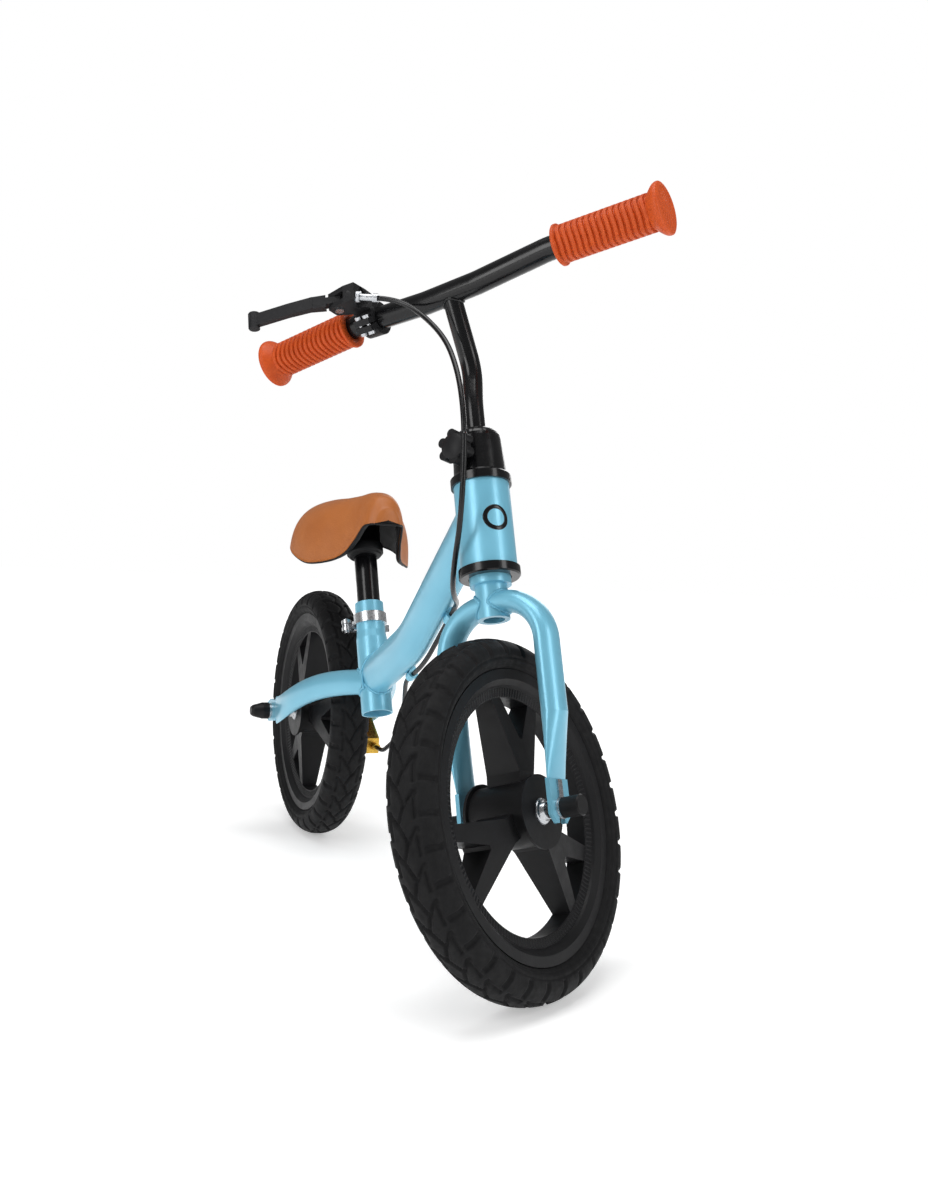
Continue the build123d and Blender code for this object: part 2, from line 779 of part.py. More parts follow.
def perch_bolts():
    """Two screws with domed heads that close the clamp under the bar, with their nuts."""
    place = bar_ring_place(clamp_place) * Rot(Z=clamp_ear_tilt)
    bolts = []
    for z in clamp_bolt_offsets:
        bolt = rod(clamp_bolt_radius, -9.6, 9.6) + rod(3.6, 6.5, 9.6) + rod(3.6, -9.6, -6.5)
        bolts.append(place * Pos(bar_radius + 8.2, 0, z) * Rot(X=90) * bolt)
    return Part() + bolts


parts["lever_perch"] = bar_frame * perch()
parts["perch_bolts"] = bar_frame * perch_bolts()
pin = Cylinder(lever_pin_radius, perch_height) + Pos(0, 0, perch_height / 2 + 0.6) * Cylinder(4.2, 1.2)
pin += Pos(0, 0, -perch_height / 2 - 0.6) * Cylinder(4.2, 1.2)
parts["lever_pivot"] = bar_frame * Pos(*lever_pivot) * pin
parts["brake_lever"] = bar_frame * lever_blade()
adjuster_length = (Vector(*adjuster_end) - Vector(*adjuster_root)).length
adjuster = tube(adjuster_radius, wire_radius + 0.6, adjuster_seat, adjuster_length)
adjuster += tube(locknut_radius, adjuster_radius, adjuster_seat, adjuster_seat + 3.4)
adjuster += tube(adjuster_radius + 1, adjuster_radius, adjuster_length - 5, adjuster_length)
parts["cable_adjuster"] = bar_frame * between(adjuster_root, adjuster_end) * adjuster

# ---------------------------------------------------------------- main frame tubes
seat_rod = rod(seat_tube_radius, 0, seat_sleeve_start)
seat_rod += Pos(0, 0, seat_sleeve_start) * Cone(
    seat_tube_radius, seat_sleeve_radius, seat_swage, align=(Align.CENTER, Align.CENTER, Align.MIN)
)
seat_rod += rod(seat_sleeve_radius, seat_sleeve_start + seat_swage, seat_tube_length)
post_bore = post_radius + 0.05
seat_hollow = rod(seat_tube_bore, -1, seat_tube_mouth) + rod(post_bore, 0, seat_tube_length + 1)
slot_width = 3.0
clamp_slot = Pos(-seat_sleeve_radius, 0, seat_tube_length - 15) * Box(12, slot_width, 32)
seat_tube = seat_rod - seat_hollow - clamp_slot
parts["seat_tube"] = seat_frame * seat_tube
seat_envelope = seat_frame * rod(seat_tube_radius, -40, seat_tube_length)
head_envelope = head_frame * rod(head_tube_radius, 100, 400)

down_head = front_axle_point + steer_dir * down_tube_head
down_foot = seat_foot + seat_dir * down_tube_foot
down_vertex = Vector(down_tube_vertex[0], 0, down_tube_vertex[1])
down_path = FilletPolyline(down_head, down_vertex, down_foot, radius=down_tube_bend)
down_start = Plane(origin=down_path @ 0, x_dir=(0, 1, 0), z_dir=down_path % 0)


def oval(width, depth):
    return sweep(down_start * Ellipse(width / 2, depth / 2), path=down_path)


down_outer = oval(down_tube_width, down_tube_depth)
down_inner = oval(down_tube_width - 2 * down_tube_wall, down_tube_depth - 2 * down_tube_wall)
parts["down_tube"] = (down_outer - down_inner) - seat_envelope - head_envelope


def chainstay():
    """Left stay: oval tube that sweeps out past the tyre to a flattened, slotted end."""
    centre = rear_plate_inner + dropout_thickness / 2
    run = rear_axle_point - seat_foot
    points = []
    for share, outward, rise in stay_shape:
        points.append(seat_foot + run * share + Vector(0, outward * centre, rise))
    points.append(rear_axle_point + Vector(22, centre, 4))
    grow = [1.0, 1.0, 1.02, 1.03, 1.06, 1.12, 1.18]
    thin = [1.0, 1.0, 1.0, 0.92, 0.66, 0.36, 0.2]
    ends = [points[1] - points[0]] + [b - a for a, b in zip(points, points[2:])] + [points[-1] - points[-2]]
    outer = [
        (p, t.normalized(), stay_height / 2 * g, stay_width / 2 * n)
        for p, t, g, n in zip(points, ends, grow, thin)
    ]
    inner = [(p, t, h - stay_wall, w - stay_wall) for p, t, h, w in outer[:5]]
    body = lofted(outer) - lofted(inner)
    half = dropout_height / 2
    plate = [(26, -half + 6), (26, half + 2), (-4, half), (-16, half - 6), (-22, 4), (-16, -half + 4), (-8, -half)]
    face = Plane.XZ * make_face(Polyline(*plate, close=True))
    end_plate = Pos(rear_axle_point.X, centre, axle_height) * extrude(face, amount=dropout_thickness / 2, both=True)
    slot_half = axle_radius + slot_clearance
    slot = along_y * Cylinder(slot_half, 60)
    slot += Rot(Y=-30) * Box(40, 60, 2 * slot_half, align=(Align.MAX, Align.CENTER, Align.CENTER))
    body = body + end_plate
    return body - Pos(*rear_axle_point) * Pos(0, centre, 0) * slot


left_stay = chainstay()
right_stay = mirror(left_stay, about=Plane.XZ)
trim = seat_envelope + down_outer
parts["chainstay_left"] = left_stay - trim
parts["chainstay_right"] = right_stay - trim

# Cable stops under the down tube: a block with a bored eye, welded to the tube's lower left
upper_along = (down_head - down_vertex).normalized()
lower_along = (down_foot - down_vertex).normalized()
stop_side = 9.0
stop_drop = down_tube_depth / 2 + 2.5
stop_half = 5.5


def under_normal(along):
    """Square to the down tube in its own plane, pointing away below it."""
    normal = Vector(along.Z, 0, -along.X)
    return normal if normal.Z < 0 else normal * -1


def stop_place(along, distance):
    """Centre of a cable stop's eye, with Z running down the tube towards the seat."""
    down = along if along.X < 0 else along * -1
    normal = under_normal(along)
    origin = down_vertex + along * distance + normal * stop_drop + Vector(0, stop_side, 0)
    return Plane(origin=origin, x_dir=normal, z_dir=down)


stop_one = stop_place(upper_along, 76.0)
stop_two = stop_place(lower_along, 34.0)


def cable_stop(plane):
    """Eye round the cable on a foot that reaches up to the tube."""
    block = Pos(-4.5, 0, 0) * Box(14, 6.4, 2 * stop_half) + Cylinder(5.0, 2 * stop_half)
    return plane.location * (block - Cylinder(cable_radius, 40))


stops = Part() + [cable_stop(stop_one), cable_stop(stop_two)]
parts["cable_stops"] = stops - down_outer

# ---------------------------------------------------------------- seat post, clamp and saddle
parts["seat_post"] = seat_frame * tube(post_radius, post_radius - post_wall, post_bottom, post_top)


def seat_clamp():
    """Band round the seat tube's sleeve with two ears to the rear."""
    middle = clamp_bottom_t + clamp_height / 2
    band_radius = seat_sleeve_radius + clamp_band
    ring = tube(band_radius, seat_sleeve_radius, clamp_bottom_t, clamp_bottom_t + clamp_height)
    ring -= Pos(-seat_sleeve_radius, 0, middle) * Box(12, clamp_ear_gap, 40)
    ears = []
    for side in (-1, 1):
        y = side * (clamp_ear_gap + clamp_ear_width) / 2
        ear = Pos(-seat_sleeve_radius - clamp_ear_reach / 2, y, middle)
        ears.append(ear * Box(clamp_ear_reach, clamp_ear_width, clamp_height))
    body = ring + ears - rod(seat_sleeve_radius, 0, 300)
    return body - Pos(skewer_x, 0, middle) * along_y * Cylinder(skewer_radius + 0.3, 60)


skewer_x = -seat_sleeve_radius - 8.0
skewer_z = clamp_bottom_t + clamp_height / 2
ear_face = clamp_ear_gap / 2 + clamp_ear_width
cam_y = -ear_face - cam_offset
parts["seat_clamp"] = seat_frame * seat_clamp()
skewer = rod(skewer_radius, cam_y + cam_radius + 0.3, ear_face + 7)
skewer += tube(5.5, skewer_radius, ear_face, ear_face + 5.5)
skewer += tube(5.8, skewer_radius, -ear_face - 6.5, -ear_face)
cam_pin = Pos(skewer_x, cam_y, skewer_z) * Cylinder(skewer_radius, clamp_height + 5)
yoke = Pos(skewer_x, cam_y, skewer_z) * (Cylinder(cam_radius - 0.6, 3.0) + Pos(0, 4, 0) * Box(5, 8, 3.0))
parts["clamp_skewer"] = seat_frame * (Pos(skewer_x, 0, skewer_z) * along_y * skewer + cam_pin + yoke)


def quick_release():
    """Forked cam with a flat curved lever that wraps behind the seat tube when shut."""
    cam = Cylinder(cam_radius, clamp_height + 1) - Cylinder(30, 3.8)
    reach = lever_length
    blade = [(-3, -4.6), (-8.5, 2), (-11, 14), (-12, 30), (-10, reach - 12), (-6.5, reach)]
    back = [(-3.6, reach), (-7.2, reach - 13), (-9.2, 30), (-8.2, 15), (-5.6, 5), (-1, 0)]
    face = make_face(Polyline(*(blade + back), close=True))
    lever = extrude(face, amount=(clamp_height - 3.5) / 2, both=True)
    lever -= Cylinder(cam_radius + 1.5, 4.4)
    return cam + lever - Cylinder(skewer_radius + 0.05, 40)


parts["quick_release_lever"] = seat_frame * Pos(skewer_x, cam_y, skewer_z) * quick_release()

# Saddle, in the bike frame: each station is (x, half width, top height)
saddle_stations = [
    (-66.0, 19.0, 405.0),
    (-76.0, 25.0, 417.0),
    (-98.0, 29.5, 421.5),
    (-124.0, 40.0, 418.5),
    (-152.0, 58.0, 415.5),
    (-184.0, 67.5, 414.0),
    (-214.0, 68.0, 410.0),
    (-238.0, 56.0, 401.0),
    (-251.0, 38.0, 388.0),
]
saddle_floor = 328.0
skirt_line = [
    (-60.0, 388.0),
    (-78.0, 384.0),
    (-94.0, 368.0),
    (-112.0, 352.0),
    (-136.0, 342.0),
    (-162.0, 339.0),
    (-192.0, 346.0),
    (-222.0, 356.0),
    (-256.0, 366.0),
]


def saddle_section(x, half, top, inset):
    """Closed arch across the saddle, inset from the outside by the given amount."""
    w = half - inset
    h = top - inset - saddle_floor
    side = [(w * cos(radians(a)) ** 0.77, saddle_floor + h * sin(radians(a)) ** 0.62) for a in (0, 20, 40, 60, 76)]
    points = side + [(0, saddle_floor + h)] + [(-y, z) for y, z in reversed(side)]
    arch = Spline(*points, tangents=[(0, 1), (0, -1)])
    base = Line(arch @ 1, arch @ 0)
    return Plane(origin=(x, 0, 0), x_dir=(0, 1, 0), z_dir=(1, 0, 0)) * make_face([arch, base])


def saddle_body(inset):
    return loft([saddle_section(x, half, top, inset) for x, half, top in saddle_stations])


def side_profile(lift):
    """Everything above the skirt line, raised by lift."""
    skirt = Spline(*[(x, z + lift) for x, z in skirt_line])
    above = Polyline(skirt @ 1, (-280, skirt_line[-1][1] + lift), (-280, 460), (-50, 460), skirt @ 0)
    return extrude(Plane.XZ * make_face([skirt, above]), amount=120, both=True)


def slab_across(start, end):
    """Everything between two distances forward, which keeps a hollow out of nose and tail."""
    return Pos(start, 0, 300) * Box(end - start, 400, 600, align=(Align.MIN, Align.CENTER, Align.CENTER))


saddle_nose = saddle_stations[0][0]
saddle_tail = saddle_stations[-1][0]
pad_outer = saddle_body(0)
base_outer = saddle_body(pad_thickness) & slab_across(saddle_tail + pad_thickness, saddle_nose - pad_thickness)
base_inner = saddle_body(pad_thickness + base_thickness)
pad = (pad_outer - base_outer) & side_profile(0)
base_shell = (base_outer - base_inner) & side_profile(1.5)
socket_place = seat_frame * Pos(0, 0, post_top)
socket = rod(post_radius + 5.5, -saddle_socket_height, 70)
socket += rod(post_radius + 8.0, -saddle_socket_height + 3, -saddle_socket_height + 13)
socket -= rod(post_radius, -saddle_socket_height - 1, 0)
parts["saddle_pad"] = pad
parts["saddle_base"] = base_shell + ((socket_place * socket) & base_outer)


# ---------------------------------------------------------------- band brake
drum_end = drum_inner + drum_width


def brake_drum():
    """Cup-shaped drum on the hub's left face."""
    shell = tube(drum_radius, drum_radius - 3, drum_inner, drum_end)
    web = tube(drum_radius, spacer_radius + 1.5, drum_inner, drum_inner + 3)
    return shell + web


def arc_band(inner, outer, start, end, y_start, y_end):
    """A strip bent round the drum from one angle to the other, about Z."""
    ring = tube(outer, inner, y_start, y_end)
    middle = radians((start + end) / 2)
    gap = 360 - (end - start)
    reach = outer * 2
    low = radians(end)
    high = radians(end + gap)
    wedge = make_face(
        Polyline(
            (0, 0),
            (reach * cos(low), reach * sin(low)),
            (reach * cos((low + high) / 2), reach * sin((low + high) / 2)),
            (reach * cos(high), reach * sin(high)),
            close=True,
        )
    )
    return ring - Pos(0, 0, y_start - 1) * extrude(wedge, y_end - y_start + 2)


lining_inner = drum_radius + lining_gap
lining_outer = lining_inner + lining_thickness
band_outer = lining_outer + band_thickness
band_start = drum_inner + 2.5
band_end = drum_end - 1.0
parts["brake_drum"] = rear_wheel_place * brake_drum()
parts["brake_lining"] = rear_wheel_place * arc_band(lining_inner, lining_outer, 50, 325, band_start, band_end)
parts["brake_band"] = rear_wheel_place * arc_band(lining_outer, band_outer, 44, 331, band_start, band_end)


def in_rear(point):
    """(forward, up) from the rear axle to the wheel's own plane, where Y points down."""
    return (point[0], -point[1])


def brake_plate():
    """Plate with a long arm forward that carries the cable's adjuster in a bent tab."""
    tab_x, tab_y = in_rear(brake_tab)
    arm = [(10, 14), (20, -14), (44, -8), (tab_x + 2, tab_y - 9), (tab_x + 2, tab_y + 9), (52, tab_y + 8), (30, 22)]
    face = Circle(plate_radius) + make_face(Polyline(*arm, close=True))
    plate = Pos(0, 0, plate_y) * extrude(face, plate_thickness)
    tab = Box(2.4, 18, 14, align=(Align.CENTER, Align.CENTER, Align.MAX))
    plate += Pos(tab_x + 0.8, tab_y, plate_y + 0.01) * tab
    plate -= rod(axle_radius, 0, 100)
    eye = Pos(tab_x, tab_y, brake_cable_y) * along_x * Cylinder(3.0, 20)
    pivot_xy = in_rear(brake_arm_pivot)
    return plate - eye - Pos(*pivot_xy, 0) * rod(brake_arm_pin_radius, 0, 100)


parts["brake_plate"] = rear_wheel_place * brake_plate()
arm_y = plate_y - 4.4


def brake_arm():
    """Short lever on the plate: its foot takes the cable and its shoulder pulls the band."""
    px, py = in_rear(brake_arm_pivot)
    ex, ey = in_rear(brake_end)
    outline = Pos(px, py) * Circle(6.5) + Pos(ex, ey) * Circle(4.5)
    outline += make_face(Polyline((px - 5, py + 2), (px + 5, py - 2), (ex + 4, ey - 1), (ex - 4, ey + 1), close=True))
    body = Pos(0, 0, arm_y) * extrude(outline, 2.4)
    clamp = Pos(ex, ey, 0) * rod(4.2, brake_cable_y - 3.2, arm_y)
    clamp -= Pos(ex, ey, brake_cable_y) * along_x * Cylinder(wire_radius + 0.3, 30)
    return body + clamp - Pos(px, py, 0) * rod(brake_arm_pin_radius + 0.05, 0, 100)


parts["brake_arm"] = rear_wheel_place * brake_arm()
pivot_xy = in_rear(brake_arm_pivot)
arm_pin = rod(brake_arm_pin_radius, arm_y - 2.5, plate_y + plate_thickness + 1.5)
arm_pin += rod(5.0, arm_y - 2.5, arm_y - 0.3)
arm_pin += rod(5.0, plate_y + plate_thickness, plate_y + plate_thickness + 1.5)
parts["brake_arm_pin"] = rear_wheel_place * Pos(*pivot_xy, 0) * arm_pin

tab_point = rear_axle_point + Vector(brake_tab[0], brake_cable_y, brake_tab[1])
barrel = tube(3.0, wire_radius + 0.4, -13, 14) + tube(4.6, 3.0, 2.2, 5.6) + tube(4.6, 3.0, 9, 14)
parts["brake_adjuster"] = Pos(*tab_point) * along_x * barrel
spring_wire = 0.45
spring_start = tab_point.X - 13.0 - 2 * spring_wire
spring_end = rear_axle_point.X + brake_end[0] + 4.5 + 2 * spring_wire


def spring():
    """Return spring over the bare wire, as a helix between the arm and the adjuster."""
    length = spring_start - spring_end
    helix = Helix(pitch=length / 6, height=length, radius=3.0)
    wire = sweep(Plane(origin=helix @ 0, z_dir=helix % 0) * Circle(spring_wire), path=helix)
    return Pos(spring_end, tab_point.Y, tab_point.Z) * along_x * wire


parts["brake_spring"] = spring()

# ---------------------------------------------------------------- brake cable
adjuster_place = bar_frame * between(adjuster_root, adjuster_end)
loop_start = (adjuster_place * Pos(0, 0, adjuster_length)).position
loop_leave = (adjuster_place * Pos(0, 0, adjuster_length + 20)).position
loop_end = stop_one.origin - stop_one.z_dir * stop_half
loop_route = [
    tuple(loop_start),
    tuple(loop_leave),
    (129.5, -44.0, 583.0),
    (160.0, -32.5, 559.0),
    (189.0, -31.0, 529.0),
    (211.0, -32.5, 496.0),
    (224.5, -34.5, 461.0),
    (230.0, -36.0, 424.0),
    (226.0, -35.0, 387.0),
    (212.0, -32.5, 357.0),
    (191.0, -24.5, 334.0),
    (168.0, -12.5, 322.5),
    (145.0, -0.5, 318.0),
    tuple(loop_end - stop_one.z_dir * 16),
    tuple(loop_end),
]
brake_entry = tab_point + Vector(14.0, 0, 0)
half_bend = upper_along.get_angle(lower_along * -1) / 2
bend_normal = (under_normal(upper_along) + under_normal(lower_along)).normalized()
bend_corner = down_vertex + bend_normal * (stop_drop / cos(radians(half_bend))) + Vector(0, stop_side, 0)
lower_route = [
    tuple(loop_end),
    tuple(bend_corner),
    tuple(stop_two.origin + stop_two.z_dir * 18),
    (-36.0, 20.0, 200.0),
    (-68.0, 33.0, 177.5),
    (-100.0, 42.5, 157.0),
    (-134.0, 46.5, 138.5),
    tuple(brake_entry + Vector(22.0, 0, 0)),
    tuple(brake_entry),
]
bend_take = (down_tube_bend + stop_drop) * tan(radians(half_bend))
loop_tube, loop_path = cord(loop_route, cable_radius)
lower_tube, lower_path = cord(lower_route, cable_radius, held={1: bend_take, 2: 18 - stop_half - 1})
parts["cable_loop"] = loop_tube
parts["cable_lower"] = lower_tube
print("cable loop volume", loop_tube.volume, "against", pi * cable_radius**2 * loop_path.length)
print("cable lower volume", lower_tube.volume, "against", pi * cable_radius**2 * lower_path.length)

# ---------------------------------------------------------------- rest pose and export
# Turned bars tip the front wheel over, so the bike leans its nose down until both tyres touch.


def touch_depth(nose):
    """How far the front tyre reaches below its axle once the nose is down by the given angle."""
    axle = (Rot(Y=nose) * front_wheel_place).z_axis.direction
    tip = abs(axle.Z)
    return max(r * sqrt(1 - tip * tip) + z * tip for r, z in tyre_outline())


nose_dive = 0.0
for _ in range(4):
    nose_dive = degrees(asin((axle_height - touch_depth(nose_dive)) / wheelbase))
origin_forward = -24.8
origin_left = -24.8
lean = Pos(*rear_axle_point) * Rot(Y=nose_dive) * Pos(*(rear_axle_point * -1))
place_at_rest = Pos(-origin_forward, -origin_left, 0) * lean

os.makedirs("parts", exist_ok=True)
for name, solid in parts.items():
    export_step(place_at_rest * solid, "parts/" + name + ".step")
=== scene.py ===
import math

import bpy
import numpy as np
from mathutils import Matrix, Vector


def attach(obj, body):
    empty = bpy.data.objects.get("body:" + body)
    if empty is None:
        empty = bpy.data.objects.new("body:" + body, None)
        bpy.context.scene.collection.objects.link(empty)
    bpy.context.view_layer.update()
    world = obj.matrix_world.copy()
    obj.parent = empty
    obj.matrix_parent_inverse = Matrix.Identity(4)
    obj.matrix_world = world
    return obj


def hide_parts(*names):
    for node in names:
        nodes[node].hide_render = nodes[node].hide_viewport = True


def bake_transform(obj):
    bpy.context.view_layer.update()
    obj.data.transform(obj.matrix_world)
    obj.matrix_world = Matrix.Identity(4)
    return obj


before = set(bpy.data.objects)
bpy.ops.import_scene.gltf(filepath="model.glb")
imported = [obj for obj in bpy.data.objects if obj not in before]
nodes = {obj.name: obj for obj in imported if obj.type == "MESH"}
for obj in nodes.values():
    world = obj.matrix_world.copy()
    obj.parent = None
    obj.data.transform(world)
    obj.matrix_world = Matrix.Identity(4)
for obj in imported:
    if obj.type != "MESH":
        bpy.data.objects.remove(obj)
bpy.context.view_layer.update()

# ---------------------------------------------------------------- sizes, in millimetres
MM = 0.001
WHEELBASE = 584.0
AXLE_HEIGHT = 150.0
HEAD_ANGLE = 69.0
STEER_REST = -58.6
BAR_TWIST = 4.2
NOSE_DIVE = 0.54417
SEAT_FOOT = (-64.0, 181.0)
SEAT_ANGLE = 67.0
ORIGIN_SHIFT = (24.8, 24.8, 0.0)


# ---------------------------------------------------------------- frames of the bike's assemblies
def turn(axis, degrees):
    return Matrix.Rotation(math.radians(degrees), 4, axis)


def shift(x, y, z):
    return Matrix.Translation((x * MM, y * MM, z * MM))


def leaning(x, z, angle):
    """Frame of a tube that leans back: X square to it and forward, Y left, Z up along it."""
    c, s = math.cos(math.radians(angle)), math.sin(math.radians(angle))
    return shift(x, 0, z) @ Matrix(((s, 0, -c, 0), (0, 1, 0, 0), (c, 0, s, 0), (0, 0, 0, 1)))


rear_axle = shift(-WHEELBASE / 2, 0, AXLE_HEIGHT)
bike = shift(*ORIGIN_SHIFT) @ rear_axle @ turn("Y", NOSE_DIVE) @ rear_axle.inverted()
head = bike @ leaning(WHEELBASE / 2, AXLE_HEIGHT, HEAD_ANGLE)
fork = head @ turn("Z", STEER_REST)
bars = head @ turn("Z", STEER_REST + BAR_TWIST)
seat = bike @ leaning(*SEAT_FOOT, SEAT_ANGLE)
front_wheel = fork @ turn("X", -90)
rear_wheel = bike @ rear_axle @ turn("X", -90)


# ---------------------------------------------------------------- mesh helpers
def mesh_piece(name, points, faces, material, body, place=None, smooth=True):
    """A piece from points in millimetres in the given frame, riding on a body."""
    matrix = place if place is not None else Matrix.Identity(4)
    mesh = bpy.data.meshes.new(name)
    mesh.from_pydata([matrix @ (Vector(p) * MM) for p in points], [], faces)
    mesh.validate()
    mesh.materials.append(material)
    for polygon in mesh.polygons:
        polygon.use_smooth = smooth
    piece = bpy.data.objects.new(name, mesh)
    bpy.context.scene.collection.objects.link(piece)
    if body:
        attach(piece, body)
    return piece


def grid_faces(rows, columns, close_rows=False, close_columns=False):
    """Quads of a grid whose point (i, j) is number i * columns + j."""
    faces = []
    for i in range(rows if close_rows else rows - 1):
        for j in range(columns if close_columns else columns - 1):
            a, b = i * columns + j, i * columns + (j + 1) % columns
            c, d = ((i + 1) % rows) * columns + (j + 1) % columns, ((i + 1) % rows) * columns + j
            faces.append((a, b, c, d))
    return faces


def smooth_step(low, high, value):
    t = np.clip((value - low) / (high - low), 0, 1)
    return t * t * (3 - 2 * t)


def curve_through(points, count):
    """Catmull-Rom curve through points, as count points evenly spaced in the parameter."""
    p = np.array(points, float)
    p = np.vstack([2 * p[0] - p[1], p, 2 * p[-1] - p[-2]])
    t = np.linspace(0, len(points) - 1, count)
    i = np.minimum(t.astype(int), len(points) - 2)
    u = (t - i)[:, None]
    a, b, c, d = p[i], p[i + 1], p[i + 2], p[i + 3]
    return 0.5 * (2 * b + (c - a) * u + (2 * a - 5 * b + 4 * c - d) * u**2 + (3 * b - a - 3 * c + d) * u**3)


def tube_piece(name, line, radii, material, body, place=None, sides=20, closed=False):
    """A tube along a line of points, with one radius for each point."""
    p = np.array(line, float)
    n = len(p)
    ahead = np.roll(p, -1, 0) - np.roll(p, 1, 0)
    if not closed:
        ahead[0], ahead[-1] = p[1] - p[0], p[-1] - p[-2]
    ahead /= np.linalg.norm(ahead, axis=1)[:, None]
    side = np.cross(ahead[0], (0, 0, 1.0) if abs(ahead[0][2]) < 0.9 else (1.0, 0, 0))
    points = []
    for k in range(n):
        side = side - ahead[k] * (side @ ahead[k])
        side /= np.linalg.norm(side)
        other = np.cross(ahead[k], side)
        for j in range(sides):
            a = 2 * math.pi * j / sides
            points.append(p[k] + radii[k] * (math.cos(a) * side + math.sin(a) * other))
    faces = grid_faces(n, sides, close_rows=closed, close_columns=True)
    if not closed:
        faces.append(tuple(range(sides))[::-1])
        faces.append(tuple(range((n - 1) * sides, n * sides)))
    return mesh_piece(name, points, faces, material, body, place)


def turned_piece(name, outline, material, body, place, sides=64):
    """A turned piece about Z from an outline of (radius, height), open or closed on the axis."""
    points = []
    for radius, height in outline:
        for j in range(sides):
            a = 2 * math.pi * j / sides
            points.append((radius * math.cos(a), radius * math.sin(a), height))
    return mesh_piece(name, points, grid_faces(len(outline), sides, close_columns=True), material, body, place)


# ---------------------------------------------------------------- material helpers
def colour(hexadecimal):
    """A linear colour from an sRGB hex value."""
    channels = [int(hexadecimal[i:i + 2], 16) / 255 for i in (1, 3, 5)]
    return tuple(c / 12.92 if c <= 0.04045 else ((c + 0.055) / 1.055) ** 2.4 for c in channels) + (1.0,)


def add(tree, kind, links=None, **settings):
    """A node with its settings, and its inputs set to values or linked to other nodes' sockets."""
    made = tree.nodes.new(kind)
    for key, value in settings.items():
        setattr(made, key, value)
    for key, value in (links or {}).items():
        if isinstance(value, bpy.types.NodeSocket):
            tree.links.new(value, made.inputs[key])
        else:
            made.inputs[key].default_value = value
    return made


def per_metre(millimetres):
    """Texture scale whose features are that many millimetres across."""
    return 1000.0 / millimetres


def start_material(name, **constants):
    """A material with a principled shader, whose constants are set on its own sockets."""
    material = bpy.data.materials.new(name)
    material.use_nodes = True
    tree = material.node_tree
    tree.nodes.clear()
    shader = add(tree, "ShaderNodeBsdfPrincipled", {k.replace("_", " "): v for k, v in constants.items()})
    add(tree, "ShaderNodeOutputMaterial", {"Surface": shader.outputs[0]})
    place = add(tree, "ShaderNodeTexCoord").outputs["Object"]
    return material, tree, shader, place


def mottled(tree, place, shader, dark, light, size, detail=3.0):
    """Base colour that drifts between two close shades over patches of a size in millimetres."""
    noise = add(tree, "ShaderNodeTexNoise", {"Vector": place, "Scale": per_metre(size), "Detail": detail})
    blend = add(tree, "ShaderNodeMix", {"Factor": noise.outputs["Fac"]}, data_type="RGBA")
    blend.inputs[6].default_value = colour(dark)
    blend.inputs[7].default_value = colour(light)
    tree.links.new(blend.outputs[2], shader.inputs["Base Color"])
    return noise


def varied_roughness(tree, place, shader, low, high, size):
    noise = add(tree, "ShaderNodeTexNoise", {"Vector": place, "Scale": per_metre(size), "Detail": 4.0})
    limits = {"Value": noise.outputs["Fac"], "From Min": 0.3, "From Max": 0.7, "To Min": low, "To Max": high}
    ranged = add(tree, "ShaderNodeMapRange", limits)
    tree.links.new(ranged.outputs[0], shader.inputs["Roughness"])


def bumped(tree, shader, height, depth, before=None):
    """Bump of a depth in millimetres from a height socket, on top of an earlier bump."""
    links = {"Height": height, "Distance": depth * MM, "Strength": 1.0}
    if before:
        links["Normal"] = before
    bump = add(tree, "ShaderNodeBump", links)
    tree.links.new(bump.outputs[0], shader.inputs["Normal"])
    return bump.outputs[0]


def noise_height(tree, place, size, detail=2.0):
    noise = {"Vector": place, "Scale": per_metre(size), "Detail": detail}
    return add(tree, "ShaderNodeTexNoise", noise).outputs["Fac"]


# ---------------------------------------------------------------- materials
def powder_coat(name, dark, light, roughness, coat):
    """Satin powder coat on steel: even colour, a faint orange peel and a soft broad highlight."""
    material, tree, shader, place = start_material(name, Coat_Weight=coat, Coat_Roughness=0.16, Metallic=0.3)
    mottled(tree, place, shader, dark, light, 55.0)
    varied_roughness(tree, place, shader, roughness - 0.04, roughness + 0.06, 30.0)
    peel = bumped(tree, shader, noise_height(tree, place, 3.2), 0.06)
    bumped(tree, shader, noise_height(tree, place, 0.7), 0.012, peel)
    return material


def gloss_enamel(name):
    """Gloss black stove enamel on steel tube: near-black with a sharp reflection and slight waviness."""
    material, tree, shader, place = start_material(name, Specular_IOR_Level=0.3, Coat_Weight=0.12, Coat_Roughness=0.05)
    mottled(tree, place, shader, "#070708", "#0E0E10", 40.0)
    varied_roughness(tree, place, shader, 0.16, 0.26, 22.0)
    bumped(tree, shader, noise_height(tree, place, 5.0), 0.035)
    return material


def polished_moulding(name):
    """Polished black ABS: glossy, with faint sink marks over its ribs."""
    material, tree, shader, place = start_material(name, Specular_IOR_Level=0.38)
    mottled(tree, place, shader, "#060607", "#0C0C0E", 30.0)
    varied_roughness(tree, place, shader, 0.14, 0.24, 14.0)
    bumped(tree, shader, noise_height(tree, place, 9.0), 0.08)
    return material


def textured_moulding(name, dark, light, grain, depth, low, high):
    """Spark-eroded black plastic: fine even grain that breaks the highlight into a soft sheen."""
    material, tree, shader, place = start_material(name, Specular_IOR_Level=0.2)
    mottled(tree, place, shader, dark, light, 35.0)
    varied_roughness(tree, place, shader, low, high, 12.0)
    cells = add(tree, "ShaderNodeTexVoronoi", {"Vector": place, "Scale": per_metre(grain)})
    broad = bumped(tree, shader, noise_height(tree, place, 16.0), 0.1)
    bumped(tree, shader, cells.outputs["Distance"], depth, broad)
    return material


